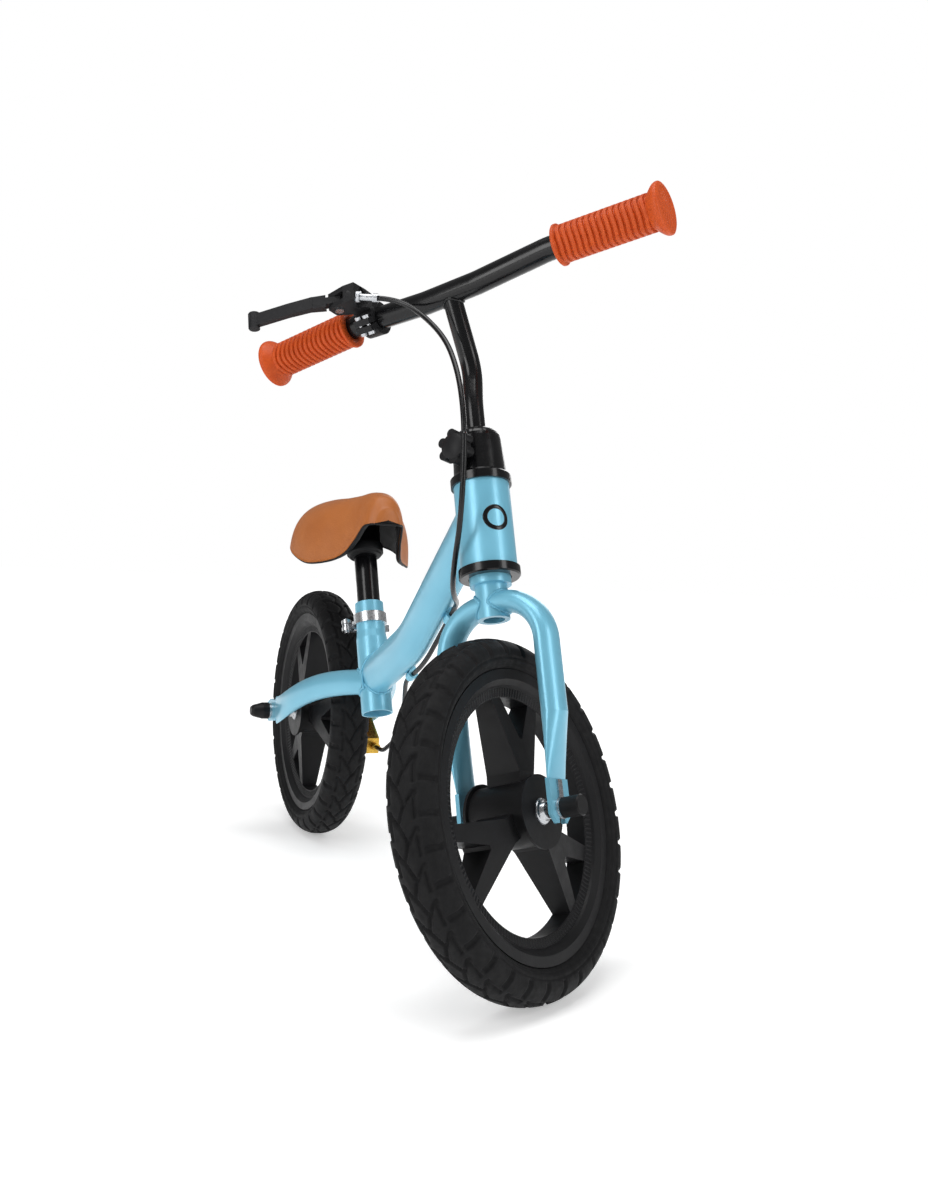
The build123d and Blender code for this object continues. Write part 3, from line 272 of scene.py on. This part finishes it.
def foam_tyre(name):
    """Moulded EVA foam: dull charcoal skin with a fine closed-cell dimple and rubbed lighter patches."""
    material, tree, shader, place = start_material(name, Specular_IOR_Level=0.16)
    mottled(tree, place, shader, "#0F0F10", "#1A1A1B", 9.0, 6.0)
    varied_roughness(tree, place, shader, 0.58, 0.78, 6.0)
    cells = add(tree, "ShaderNodeTexVoronoi", {"Vector": place, "Scale": per_metre(1.1)})
    skin = bumped(tree, shader, noise_height(tree, place, 4.0, 5.0), 0.16)
    bumped(tree, shader, cells.outputs["Distance"], 0.07, skin)
    return material


def grip_rubber(name):
    """Soft moulded rubber, rust orange: matte, its colour drifting a little between close shades, with a faint fine
    bump.
    """
    material, tree, shader, place = start_material(name, Specular_IOR_Level=0.25)
    mottled(tree, place, shader, "#AE3E10", "#C5521B", 7.0, 5.0)
    varied_roughness(tree, place, shader, 0.42, 0.6, 5.0)
    bumped(tree, shader, noise_height(tree, place, 0.9, 3.0), 0.05)
    return material


def saddle_leather(name):
    """Tan polyurethane leather stretched over foam: pebble grain, warm mottling and a soft sheen."""
    material, tree, shader, place = start_material(name, Specular_IOR_Level=0.36)
    mottled(tree, place, shader, "#985527", "#AF6A36", 26.0, 6.0)
    varied_roughness(tree, place, shader, 0.36, 0.5, 8.0)
    pebbles = {"Vector": place, "Scale": per_metre(1.7), "Randomness": 0.95}
    grain = add(tree, "ShaderNodeTexVoronoi", pebbles, feature="SMOOTH_F1")
    folds = bumped(tree, shader, noise_height(tree, place, 14.0, 3.0), 0.22)
    bumped(tree, shader, grain.outputs["Distance"], 0.16, folds)
    return material


def zinc_plate(name, dark, light, low, high):
    """Barrel-plated zinc on steel: bright grey metal with a faint cloudy finish."""
    material, tree, shader, place = start_material(name, Metallic=1.0)
    mottled(tree, place, shader, dark, light, 6.0, 5.0)
    varied_roughness(tree, place, shader, low, high, 2.5)
    bumped(tree, shader, noise_height(tree, place, 0.6), 0.01)
    return material


def polished_alloy(name):
    """Tumble-polished aluminium: pale metal, its shade and roughness drifting a little, with a faint fine bump."""
    material, tree, shader, place = start_material(name, Metallic=1.0)
    mottled(tree, place, shader, "#BFC1C4", "#D9DBDD", 12.0)
    varied_roughness(tree, place, shader, 0.22, 0.34, 3.0)
    bumped(tree, shader, noise_height(tree, place, 1.2, 3.0), 0.004)
    return material


def vinyl_cover(name):
    """Extruded black vinyl: smooth and slightly waxy along its length."""
    material, tree, shader, place = start_material(name, Specular_IOR_Level=0.34)
    mottled(tree, place, shader, "#070708", "#101012", 18.0)
    varied_roughness(tree, place, shader, 0.2, 0.32, 10.0)
    bumped(tree, shader, noise_height(tree, place, 2.4), 0.02)
    return material


def friction_lining(name):
    """Pressed fibre lining: brown-grey, rough and flecked."""
    material, tree, shader, place = start_material(name, Specular_IOR_Level=0.3)
    mottled(tree, place, shader, "#3A332B", "#5B5145", 1.6, 6.0)
    varied_roughness(tree, place, shader, 0.8, 0.95, 1.0)
    bumped(tree, shader, noise_height(tree, place, 0.8, 5.0), 0.08)
    return material


paint_blue = powder_coat("powder_coated_steel_sky", "#68AFC9", "#7DBFD6", 0.36, 0.3)
weld_blue = powder_coat("powder_coated_weld_bead", "#5FA6C2", "#74B8D0", 0.42, 0.2)
enamel_black = gloss_enamel("stove_enamelled_tube_black")
abs_black = polished_moulding("polished_abs_black")
knob_black = textured_moulding("fine_textured_nylon_black", "#101011", "#1A1A1C", 0.5, 0.04, 0.4, 0.52)
wheel_black = textured_moulding("moulded_polypropylene_black", "#0F0F10", "#1B1B1D", 0.7, 0.05, 0.36, 0.5)
lever_black = textured_moulding("textured_nylon_lever_black", "#131314", "#222224", 0.8, 0.07, 0.42, 0.56)
base_black = textured_moulding("saddle_base_polypropylene", "#0E0E0F", "#1A1A1B", 0.9, 0.06, 0.45, 0.6)
foam_black = foam_tyre("moulded_eva_foam_charcoal")
rubber_orange = grip_rubber("moulded_rubber_rust_orange")
leather_tan = saddle_leather("polyurethane_leather_tan")
zinc_bright = zinc_plate("zinc_plated_steel", "#9FA2A6", "#C9CBCE", 0.2, 0.34)
zinc_yellow = zinc_plate("yellow_chromate_zinc", "#B58A2E", "#DDB85A", 0.22, 0.36)
iron_turned = zinc_plate("turned_brake_drum_steel", "#56575A", "#7D7E81", 0.34, 0.48)
alloy = polished_alloy("tumble_polished_aluminium")
vinyl_black = vinyl_cover("extruded_vinyl_black")
lining_brown = friction_lining("pressed_fibre_lining")

NODE_MATERIALS = {
    paint_blue: ("head_tube", "down_tube", "seat_tube", "chainstay_right", "chainstay_left", "cable_stops",
                 "fork_steerer", "fork_leg_left", "fork_leg_right", "crown_race"),
    enamel_black: ("headset_cup_lower", "headset_cup_upper", "stem_post", "handlebar", "seat_post"),
    abs_black: ("stem_collar",),
    knob_black: ("star_knob", "front_axle_caps", "rear_axle_caps"),
    wheel_black: ("front_wheel", "rear_wheel"),
    lever_black: ("brake_lever", "lever_perch"),
    base_black: ("saddle_base",),
    foam_black: ("front_tyre", "rear_tyre"),
    rubber_orange: ("grip_left", "grip_right"),
    leather_tan: ("saddle_pad",),
    zinc_bright: ("headset_balls", "front_axle", "rear_axle", "front_cones", "rear_cones", "front_washers",
                  "rear_washers", "front_axle_nuts", "rear_axle_nuts", "front_bearing_rings",
                  "rear_bearing_rings", "front_bearing_balls", "rear_bearing_balls", "knob_screw",
                  "perch_bolts", "lever_pivot", "cable_adjuster", "brake_spring", "clamp_skewer",
                  "brake_arm_pin"),
    zinc_yellow: ("brake_plate", "brake_arm", "brake_band", "brake_adjuster"),
    iron_turned: ("brake_drum",),
    lining_brown: ("brake_lining",),
    alloy: ("seat_clamp", "quick_release_lever"),
    vinyl_black: ("cable_lower", "cable_loop"),
}
for material, names in NODE_MATERIALS.items():
    for name in names:
        nodes[name].data.materials.clear()
        nodes[name].data.materials.append(material)

# ---------------------------------------------------------------- tyres
TREAD_REPEATS = 34
TYRE_SECTION = [(121.2, 14.9), (122.0, 17.0), (126.0, 20.7), (132.0, 22.4), (139.0, 21.2), (145.6, 15.4),
                (149.1, 7.4), (149.9, 0.0)]


def tread_depth(turns, across, radius):
    """How deep the moulded pattern is, in millimetres: zigzag centre, slanted blocks and shoulder lugs."""
    repeat = turns * TREAD_REPEATS
    side = np.abs(across)
    zigzag = 3.2 * (np.abs((repeat % 1.0) * 2 - 1) * 2 - 1)
    centre = 1 - smooth_step(0.9, 1.7, np.abs(across - zigzag))
    half = np.where(across > 0, 0.5, 0.0)
    slant = (repeat + half + 0.34 * smooth_step(3, 12, side)) % 1.0
    cross = 1 - smooth_step(0.055, 0.1, np.abs(slant - 0.5))
    cross = cross * smooth_step(2.5, 4.0, side) * (1 - smooth_step(13.2, 14.4, side))
    hook = (repeat + half + 0.1) % 1.0
    rim_slot = (1 - smooth_step(0.7, 1.4, np.abs(side - 11.6))) * smooth_step(0.3, 0.36, hook)
    lug = (repeat + half + 0.74) % 1.0
    lugs = (1 - smooth_step(0.075, 0.12, np.abs(lug - 0.5))) * smooth_step(14.6, 15.8, side)
    lugs = lugs * smooth_step(131.5, 134.0, radius)
    step = (1 - smooth_step(0.6, 1.3, np.abs(radius - 130.2))) * smooth_step(15, 18, side)
    edge = (1 - smooth_step(0.5, 1.0, np.abs(radius - 125.0))) * 0.6
    return 2.3 * np.maximum(np.maximum(centre, cross), rim_slot * 0.9) + 2.2 * lugs + 0.9 * step + 0.7 * edge


def foam_tyre_piece(name, node, body, place):
    """Tyre whose outside carries the moulded tread, closed by its seat in the rim."""
    columns, rows = 960, 92
    half = curve_through(TYRE_SECTION, rows // 2)
    section = np.vstack([half, (half * (1, -1))[::-1][1:]])
    tangent = np.gradient(section, axis=0)
    normal = np.stack([-tangent[:, 1], tangent[:, 0]], 1)
    normal /= np.linalg.norm(normal, axis=1)[:, None]
    outward = np.sign(((section - (128.0, 0.0)) * normal).sum(1))[:, None]
    normal *= np.where(outward == 0, 1, outward)
    points = []
    turns = np.arange(columns) / columns
    for (radius, across), (out_radius, out_across) in zip(section, normal):
        depth = tread_depth(turns, across, radius)
        r = radius - out_radius * depth
        z = across - out_across * depth
        angle = turns * 2 * math.pi
        points.append(np.stack([r * np.cos(angle), r * np.sin(angle), np.full(columns, z)], 1))
    for radius, across in ((117.3, -14.7), (117.3, 14.7)):
        angle = turns * 2 * math.pi
        points.append(np.stack([radius * np.cos(angle), radius * np.sin(angle), np.full(columns, across)], 1))
    points = np.concatenate(points)
    faces = grid_faces(len(points) // columns, columns, close_rows=True, close_columns=True)
    piece = mesh_piece(name, points.tolist(), faces, foam_black, body, place)
    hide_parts(node)
    return piece


foam_tyre_piece("front_tyre_moulding", "front_tyre", "front_wheel", front_wheel)
foam_tyre_piece("rear_tyre_moulding", "rear_tyre", "rear_wheel", rear_wheel)


# ---------------------------------------------------------------- wheels
def rim_knurl(name, body, place):
    """Fine radial ribs moulded on both faces of the rim's inner band."""
    ribs = 168
    columns = ribs * 4
    for side in (1, -1):
        points = []
        for radius, face, height in ((98.6, 9.1, 0.0), (99.2, 9.3, 0.55), (105.4, 10.7, 0.55), (106.0, 10.9, 0.0)):
            for j in range(columns):
                a = 2 * math.pi * j / columns
                crest = height if j % 4 in (1, 2) else -0.05
                points.append((radius * math.cos(a), radius * math.sin(a), side * (face + crest)))
        faces = grid_faces(4, columns, close_columns=True)
        piece = mesh_piece(f"{name}_{'left' if side < 0 else 'right'}", points, faces, wheel_black, body, place, False)


rim_knurl("front_rim_knurl", "front_wheel", front_wheel)
rim_knurl("rear_rim_knurl", "rear_wheel", rear_wheel)


# ---------------------------------------------------------------- grips
GRIP_INNER, GRIP_CORNER, GRIP_END = 115.0, (21.8, 104.0, 489.0), (18.9, 215.5, 485.6)
GRIP_LENGTH = 104.6
GRIP_RIBS = 15


def grip_piece(name, node, side):
    """Moulded grip: thin inner flange, wavy ribs, and a mushroom end with curved grooves on its face."""
    corner, end = Vector(GRIP_CORNER), Vector(GRIP_END)
    along = (end - corner).normalized()
    start = corner + along * (GRIP_INNER - GRIP_CORNER[1])
    across = Vector((0, 0, 1)).cross(along).normalized()
    up = along.cross(across)
    columns, rows = 96, 300
    points = []
    rib_start, rib_end = 4.2, GRIP_LENGTH - 14.0
    for i in range(rows):
        z = GRIP_LENGTH * i / (rows - 1)
        for j in range(columns):
            a = 2 * math.pi * j / columns
            if z < 3.6:
                radius = 19.4 - 1.2 * max(0.0, abs(z - 1.8) - 1.0)
            elif z > rib_end:
                t = (z - rib_end) / (GRIP_LENGTH - rib_end)
                radius = 16.6 + 7.4 * math.sin(min(t * 1.35, 1.0) * math.pi / 2) ** 1.3
                radius -= 4.5 * max(0.0, (t - 0.8) / 0.2) ** 2.2
            else:
                wave = 0.22 * math.sin(3 * a)
                phase = ((z - rib_start) / (rib_end - rib_start) * GRIP_RIBS + wave) % 1.0
                crest = smooth_step(0.1, 0.28, phase) * (1 - smooth_step(0.78, 0.96, phase))
                radius = 15.0 + 2.5 * crest
            points.append((radius * math.cos(a), radius * math.sin(a), z))
    faces = grid_faces(rows, columns, close_columns=True)
    rings = 26
    for k in range(1, rings + 1):
        for j in range(columns):
            a = 2 * math.pi * j / columns
            radius = 19.4 * (1 - k / (rings + 0.5))
            x, y = radius * math.cos(a), radius * math.sin(a)
            swirl = (x + 0.012 * y * y) / 4.4
            groove = max(0.0, 1 - abs((swirl % 1.0) - 0.5) / 0.16) ** 0.7
            lift = 0.5 * (1 - (radius / 19.4) ** 2)
            fade = min(1.0, (19.4 - radius) / 2.0)
            points.append((x, y, GRIP_LENGTH - 0.4 + lift - 1.0 * groove * fade))
    last = (rows - 1) * columns
    for k in range(rings):
        for j in range(columns):
            a, b = last + k * columns + j, last + k * columns + (j + 1) % columns
            faces.append((a, b, b + columns, a + columns))
    faces.append(tuple(range(last + rings * columns, last + (rings + 1) * columns)))
    inner_start = len(points)
    for z in (0.0, GRIP_LENGTH - 6):
        points += [(11.15 * math.cos(2 * math.pi * j / columns), 11.15 * math.sin(2 * math.pi * j / columns), z)
                   for j in range(columns)]
    for j in range(columns):
        k = (j + 1) % columns
        faces.append((j, inner_start + j, inner_start + k, k))
        faces.append((inner_start + j, inner_start + columns + j, inner_start + columns + k, inner_start + k))
    world = [tuple(start + across * p[0] + up * p[1] + along * p[2]) for p in points]
    world = [(x, side * y, z) for x, y, z in world]
    piece = mesh_piece(name, world, faces, rubber_orange, "bars", bars)
    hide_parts(node)
    return piece


grip_piece("grip_moulding_left", "grip_left", 1)
grip_piece("grip_moulding_right", "grip_right", -1)

# ---------------------------------------------------------------- saddle
SADDLE_STATIONS = [(-66.0, 19.0, 405.0), (-76.0, 25.0, 417.0), (-98.0, 29.5, 421.5), (-124.0, 40.0, 418.5),
                   (-152.0, 58.0, 415.5), (-184.0, 67.5, 414.0), (-214.0, 68.0, 410.0), (-238.0, 56.0, 401.0),
                   (-251.0, 38.0, 388.0)]
SKIRT_LINE = [(-60.0, 388.0), (-78.0, 384.0), (-94.0, 368.0), (-112.0, 352.0), (-136.0, 342.0),
              (-162.0, 339.0), (-192.0, 346.0), (-222.0, 356.0), (-256.0, 366.0)]
SADDLE_FLOOR = 328.0


SKIRT_CURVE = curve_through(SKIRT_LINE, 400)[::-1]


def skirt_height(x):
    return float(np.interp(x, SKIRT_CURVE[:, 0], SKIRT_CURVE[:, 1]))


def saddle_row(x, half, top, inset, count):
    """One row of the cover across the saddle, from its right skirt over the top to its left."""
    w, h = half - inset, top - inset - SADDLE_FLOOR
    angles = np.linspace(0.0, math.pi / 2, 4000)
    y = w * np.cos(angles) ** 0.77
    z = SADDLE_FLOOR + h * np.sin(angles) ** 0.62
    keep = z >= skirt_height(x)
    y, z = y[keep], z[keep]
    y = np.concatenate([-y, y[::-1][1:]])
    z = np.concatenate([z, z[::-1][1:]])
    run = np.concatenate([[0], np.cumsum(np.hypot(np.diff(y), np.diff(z)))])
    even = np.linspace(0, run[-1], count)
    return np.stack([np.full(count, x), np.interp(even, run, y), np.interp(even, run, z)], 1)


def closed_end(station, inset, across, bulge):
    """Rows that close the shell's nose or tail, shrinking to its middle as they bulge out."""
    x, half, top = station
    middle = np.array([x, 0.0, skirt_height(x) + 4.0])
    rows = []
    for k in range(1, 10):
        row = saddle_row(x, half, top, inset, across)
        row = middle + (row - middle) * (1 - (k / 9.2) ** 1.6)
        row[:, 0] = x + bulge * math.sin(k / 9 * math.pi / 2)
        rows.append(row)
    return rows


def saddle_shell(name, outer_inset, inner_inset, material, bulge):
    """Crowned shell with a closed nose and tail, turned in along its lower edge."""
    stations = curve_through(SADDLE_STATIONS, 90)
    across = 72
    outer = [saddle_row(x, w, t, outer_inset, across) for x, w, t in stations]
    inner = [saddle_row(x, w, t, inner_inset, across) for x, w, t in stations[2:-3]]
    nose = closed_end(stations[0], outer_inset, across, bulge)[::-1]
    tail = closed_end(stations[-1], outer_inset, across, -bulge)
    rows = nose + outer + tail
    points = np.concatenate(rows + inner)
    faces = grid_faces(len(rows), across)
    start = len(rows) * across
    faces += [tuple(start + k for k in face) for face in grid_faces(len(inner), across)]
    first = (len(nose) + 2) * across
    for i in range(len(inner) - 1):
        for edge in (0, across - 1):
            a, b = first + i * across + edge, start + i * across + edge
            faces.append((a, b, b + across, a + across))
    return mesh_piece(name, points.tolist(), faces, material, None, bike)


def hem_line(offset, drop):
    """The saddle's lower edge as a line round both sides, joined across the tail."""
    stations = curve_through(SADDLE_STATIONS, 90)
    side = []
    for x, w, t in stations:
        row = saddle_row(x, w, t, offset, 9)
        side.append(row[-1] + (0, 0, drop))
    left = np.array(side)
    right = left[::-1] * (1, -1, 1)
    back = np.linspace(left[-1], right[0], 12)[1:-1]
    front = np.linspace(right[-1], left[0], 12)[1:-1]
    return np.vstack([left, back, right, front])


pad = saddle_shell("saddle_cover", 0.0, 3.4, leather_tan, 2.6)
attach(pad, "seat")
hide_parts("saddle_pad")
hem = hem_line(1.6, -0.4)
piping = tube_piece("saddle_hem_piping", hem, np.full(len(hem), 1.4), base_black, "seat", bike, 10, True)
saddle_moulding = saddle_shell("saddle_base_moulding", 3.6, 6.0, base_black, 0.4)
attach(saddle_moulding, "seat")
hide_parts("saddle_base")
SOCKET = [(12.75, 182.0), (17.6, 182.0), (18.2, 182.6), (18.2, 185.0), (20.3, 185.0), (20.7, 185.6), (20.7, 194.4),
          (20.3, 195.0), (18.2, 195.2), (19.4, 233.0), (12.72, 233.0)]
socket = turned_piece("saddle_socket", SOCKET, base_black, "seat", seat)

# ---------------------------------------------------------------- brake cable's loop
LOOP_ROUTE = [(96.4723, -78.1419, 599.269), (107.757, -61.6604, 598.26), (129.5, -44.0, 583.0),
              (160.0, -32.5, 559.0), (189.0, -31.0, 529.0), (211.0, -32.5, 496.0), (224.5, -34.5, 461.0),
              (230.0, -36.0, 424.0), (226.0, -35.0, 387.0), (212.0, -32.5, 357.0), (191.0, -24.5, 334.0),
              (168.0, -12.5, 322.5), (145.0, -0.5, 318.0), (122.203, 9.0, 313.661), (110.077, 9.0, 303.223)]
CABLE_RADIUS = 2.5


def spline_points(route, name):
    """Points along a smooth spline whose control points are the route."""
    curve = bpy.data.curves.new(name, "CURVE")
    curve.dimensions = "3D"
    curve.resolution_u = 16
    spline = curve.splines.new("NURBS")
    spline.points.add(len(route) - 1)
    for point, place in zip(spline.points, route):
        point.co = (*place, 1.0)
    spline.order_u = 3
    spline.use_endpoint_u = True
    holder = bpy.data.objects.new(name, curve)
    bpy.context.scene.collection.objects.link(holder)
    line = bpy.data.meshes.new_from_object(holder.evaluated_get(bpy.context.evaluated_depsgraph_get()))
    points = np.array([v.co for v in line.vertices], float)
    bpy.data.objects.remove(holder)
    bpy.data.meshes.remove(line)
    return points


def cable_piece(name, line):
    piece = tube_piece(name, line, np.full(len(line), CABLE_RADIUS), vinyl_black, None, bike, 18)
    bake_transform(piece)
    return piece


loop_line = spline_points(LOOP_ROUTE, "loop_line")
split = int(np.argmin(np.abs(loop_line[:, 2] - 470.0)))


lower_loop = cable_piece("cable_loop_lower", loop_line[split:])
cable_piece("cable_loop_upper", loop_line[:split + 1])
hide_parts("cable_loop")


# ---------------------------------------------------------------- weld beads
def bead(name, line, size, body, place, closed=True):
    """A ripple of solidified weld metal under the paint, along the seam between two tubes."""
    p = np.array(line, float)
    ends = np.vstack([p, p[:1]]) if closed else p
    run = np.concatenate([[0], np.cumsum(np.linalg.norm(np.diff(ends, axis=0), axis=1))])
    count = max(24, int(run[-1] / 0.55))
    even = np.linspace(0, run[-1], count, endpoint=not closed)
    spaced = np.stack([np.interp(even, run, ends[:, k]) for k in range(3)], 1)
    ripple = np.abs(np.sin(even / 2.3 * math.pi)) ** 0.7
    radii = size * (0.84 + 0.2 * ripple + 0.06 * np.sin(even / 17.0))
    piece = tube_piece(name, spaced, radii, weld_blue, body, place, 12, closed)
    return piece


def seam_on_cylinder(origin, along, half_up, half_side, up, axis_point, axis, radius, steps=96):
    """Where an oval tube that runs along a direction first meets a round tube."""
    along, up = Vector(along).normalized(), Vector(up)
    axis = Vector(axis).normalized()
    side = along.cross(up).normalized()
    up = side.cross(along).normalized()
    line = []
    for k in range(steps):
        a = 2 * math.pi * k / steps
        start = Vector(origin) + up * (half_up * math.cos(a)) + side * (half_side * math.sin(a))
        gap = start - Vector(axis_point)
        gap -= axis * gap.dot(axis)
        way = along - axis * along.dot(axis)
        b, c = gap.dot(way), gap.dot(gap) - radius * radius
        root = b * b - way.dot(way) * c
        reach = (-b - math.sqrt(max(root, 0.0))) / way.dot(way)
        line.append(tuple(start + along * reach))
    return line


steer_axis = (-math.cos(math.radians(HEAD_ANGLE)), 0, math.sin(math.radians(HEAD_ANGLE)))
seat_axis = (-math.cos(math.radians(SEAT_ANGLE)), 0, math.sin(math.radians(SEAT_ANGLE)))
axle_point = (WHEELBASE / 2, 0, AXLE_HEIGHT)
seat_point = (SEAT_FOOT[0], 0, SEAT_FOOT[1])
VERTEX = (32.0, 0.0, 269.0)
down_head = tuple(Vector(axle_point) + Vector(steer_axis) * 276.0)
down_foot = tuple(Vector(seat_point) + Vector(seat_axis) * 40.5)
to_head = Vector(down_head) - Vector(VERTEX)
to_foot = Vector(down_foot) - Vector(VERTEX)
bead("weld_head_tube", seam_on_cylinder(VERTEX, to_head, 22.7, 16.7, (0, 0, 1), axle_point, steer_axis, 25.3),
     1.9, "frame", bike)
bead("weld_seat_tube", seam_on_cylinder(VERTEX, to_foot, 22.7, 16.7, (0, 0, 1), seat_point, seat_axis, 17.0),
     1.9, "frame", bike)
for side, label in ((1, "left"), (-1, "right")):
    stay = Vector((-76.0 + 112.0, side * (9.0 - 26.0), 213.5 - 208.0))
    origin = (-112.0, side * 26.0, 208.0)
    line = seam_on_cylinder(origin, stay, 14.2, 10.2, (0, 0, 1), seat_point, seat_axis, 17.2)
    bead(f"weld_chainstay_{label}", line, 1.7, "frame", bike)
    crown = []
    for k in range(96):
        a = 2 * math.pi * k / 96
        x, z = 13.9 * math.cos(a), 183.0 + 10.2 * math.sin(a)
        crown.append((x, side * math.sqrt(max(14.6**2 - x * x, 1.4**2)), z))
    bead(f"weld_fork_crown_{label}", crown, 1.6, "fork", fork)
stem_seam = seam_on_cylinder((-5, 0, 412), (27.4, 0, 71.4), 9.6, 9.6, (1, 0, 0), (22.4, 0, 483.4), (0, 1, 0), 11.2)
stem_bead = bead("weld_stem_bar", stem_seam, 1.5, "bars", bars)
stem_bead.data.materials.clear()
stem_bead.data.materials.append(enamel_black)

# ---------------------------------------------------------------- small hardware
# Cone's dust shield over each bearing but the rear wheel's left one: a stepped bright washer against the wheel's face
SHIELD = [(4.2, 29.5), (10.6, 29.5), (10.6, 30.2), (9.6, 30.9), (7.4, 31.6), (7.4, 35.0), (6.7, 35.6), (6.6, 35.6)]
for label, body, place in (("front", "fork", front_wheel), ("rear", "frame", rear_wheel)):
    for side, name in ((1, "left"), (-1, "right")):
        if label == "rear" and side > 0:
            continue
        shield = turned_piece(f"{label}_dust_shield_{name}", [(r, side * z) for r, z in SHIELD], zinc_bright, body, place)

WIRE = 0.8
rear_wire = [(-243.0, 46.0, 121.0), (-230.0, 46.0, 121.0), (-205.0, 46.0, 121.0)]
tube_piece("brake_inner_wire", rear_wire, [WIRE] * 3, zinc_bright, "frame", bike, 10)


# A plain raised ring on the head tube, bent to its curve
badge = []
for i in range(15):
    radius = 8.0 + 4.0 * i / 14
    for j in range(64):
        a = 2 * math.pi * j / 64
        y, z = radius * math.cos(a), 256.0 + radius * math.sin(a)
        lift = 25.3 + 0.45 * max(0.0, 1 - ((radius - 10.0) / 2.0) ** 2) ** 0.35
        badge.append((math.sqrt(max(lift * lift - y * y, 0.0)), y, z))
mesh_piece("head_badge_ring", badge, grid_faces(15, 64, close_columns=True), abs_black, "frame", head)

# ---------------------------------------------------------------- lever's ribbed tip
LEVER_TIP = (81.8, -189.0, 498.0)
TIP_RADIUS = 5.5
RIB_RADIUS = 0.55
RIB_ENDS = (490.2, 498.0, 505.8)
for k in range(7):
    turn_by = math.radians(-150 + 22 * k)
    x, y = LEVER_TIP[0] + TIP_RADIUS * math.cos(turn_by), LEVER_TIP[1] + TIP_RADIUS * math.sin(turn_by)
    rib = tube_piece(f"lever_tip_rib_{k + 1}", [(x, y, z) for z in RIB_ENDS], [RIB_RADIUS] * 3,
                     lever_black, "brake_lever", bars, 10)

# ---------------------------------------------------------------- shading of the machined parts
for name, node in nodes.items():
    for polygon in node.data.polygons:
        polygon.use_smooth = True

# ---------------------------------------------------------------- camera, lights and floor
CAMERA_AT = (1259.56, -460.84, 383.91)
CAMERA_YAW, CAMERA_PITCH, CAMERA_ROLL = 158.2, -0.47, 3.2
camera_data = bpy.data.cameras.new("camera")
camera = bpy.data.objects.new("camera", camera_data)
bpy.context.scene.collection.objects.link(camera)
yaw, pitch, roll = (math.radians(v) for v in (CAMERA_YAW, CAMERA_PITCH, CAMERA_ROLL))
forward = Vector((math.cos(pitch) * math.cos(yaw), math.cos(pitch) * math.sin(yaw), math.sin(pitch)))
level_right = forward.cross(Vector((0, 0, 1))).normalized()
level_up = level_right.cross(forward)
right = level_right * math.cos(roll) + level_up * math.sin(roll)
up = level_up * math.cos(roll) - level_right * math.sin(roll)
looking = Matrix((right, up, -forward)).transposed().to_4x4()
camera.matrix_world = bike @ Matrix.Translation(Vector(CAMERA_AT) * MM) @ looking
camera_data.lens = 38.73
camera_data.sensor_width = 36.0
camera_data.shift_x = 0.01526
camera_data.shift_y = -0.0493
camera_data.clip_start = 0.02
bpy.context.scene.camera = camera


def area_light(name, at, target, width, height, power):
    light = bpy.data.lights.new(name, "AREA")
    light.shape = "RECTANGLE"
    light.size, light.size_y, light.energy = width, height, power
    lamp = bpy.data.objects.new(name, light)
    lamp.matrix_world = Matrix.Translation(at) @ (Vector(target) - Vector(at)).to_track_quat("-Z", "Y").to_matrix().to_4x4()
    bpy.context.scene.collection.objects.link(lamp)


area_light("overhead_softbox", (0.3, -0.2, 2.2), (0.0, 0.0, 0.3), 1.6, 1.3, 26)
area_light("left_softbox", (0.9, -2.1, 1.2), (0.1, 0.0, 0.35), 0.8, 1.7, 22)
area_light("right_softbox", (1.9, 1.3, 1.2), (0.1, 0.0, 0.35), 0.7, 1.7, 17)
area_light("back_softbox", (-1.7, 1.5, 1.3), (0.0, 0.0, 0.35), 1.2, 1.2, 12)

world = bpy.data.worlds.new("studio")
world.use_nodes = True
world.node_tree.nodes.clear()
white = {"Color": (1.0, 1.0, 1.0, 1.0)}
seen = add(world.node_tree, "ShaderNodeBackground", {**white, "Strength": 1.0})
lit = add(world.node_tree, "ShaderNodeBackground", {**white, "Strength": 0.24})
direct = add(world.node_tree, "ShaderNodeLightPath").outputs["Is Camera Ray"]
chosen = add(world.node_tree, "ShaderNodeMixShader", {0: direct, 1: lit.outputs[0], 2: seen.outputs[0]})
add(world.node_tree, "ShaderNodeOutputWorld", {"Surface": chosen.outputs[0]})
bpy.context.scene.world = world
bpy.context.scene.view_settings.view_transform = "Standard"

# Seamless white paper: dull and even in colour, with a painted glow (emission) that lights it from within, weakest
# near the bike and brighter the further it runs back
floor_paper, floor_tree, floor_shader, floor_place = start_material("seamless_paper_white", Roughness=0.9)
# Painted light: the paper gives off white light of its own, on top of what the lamps give it
floor_shader.inputs["Emission Color"].default_value = (1.0, 1.0, 1.0, 1.0)
away = add(floor_tree, "ShaderNodeVectorMath", {0: floor_place}, operation="LENGTH").outputs["Value"]
fade = {"Value": away, "From Min": 0.7, "From Max": 3.0, "To Min": 0.36, "To Max": 1.0}
floor_tree.links.new(add(floor_tree, "ShaderNodeMapRange", fade).outputs[0], floor_shader.inputs["Emission Strength"])
mottled(floor_tree, floor_place, floor_shader, "#F3F3F3", "#F8F8F8", 300.0)
floor = mesh_piece("floor", [(-9000, -9000, 0), (9000, -9000, 0), (9000, 9000, 0), (-9000, 9000, 0)],
                   [(0, 1, 2, 3)], floor_paper, None)
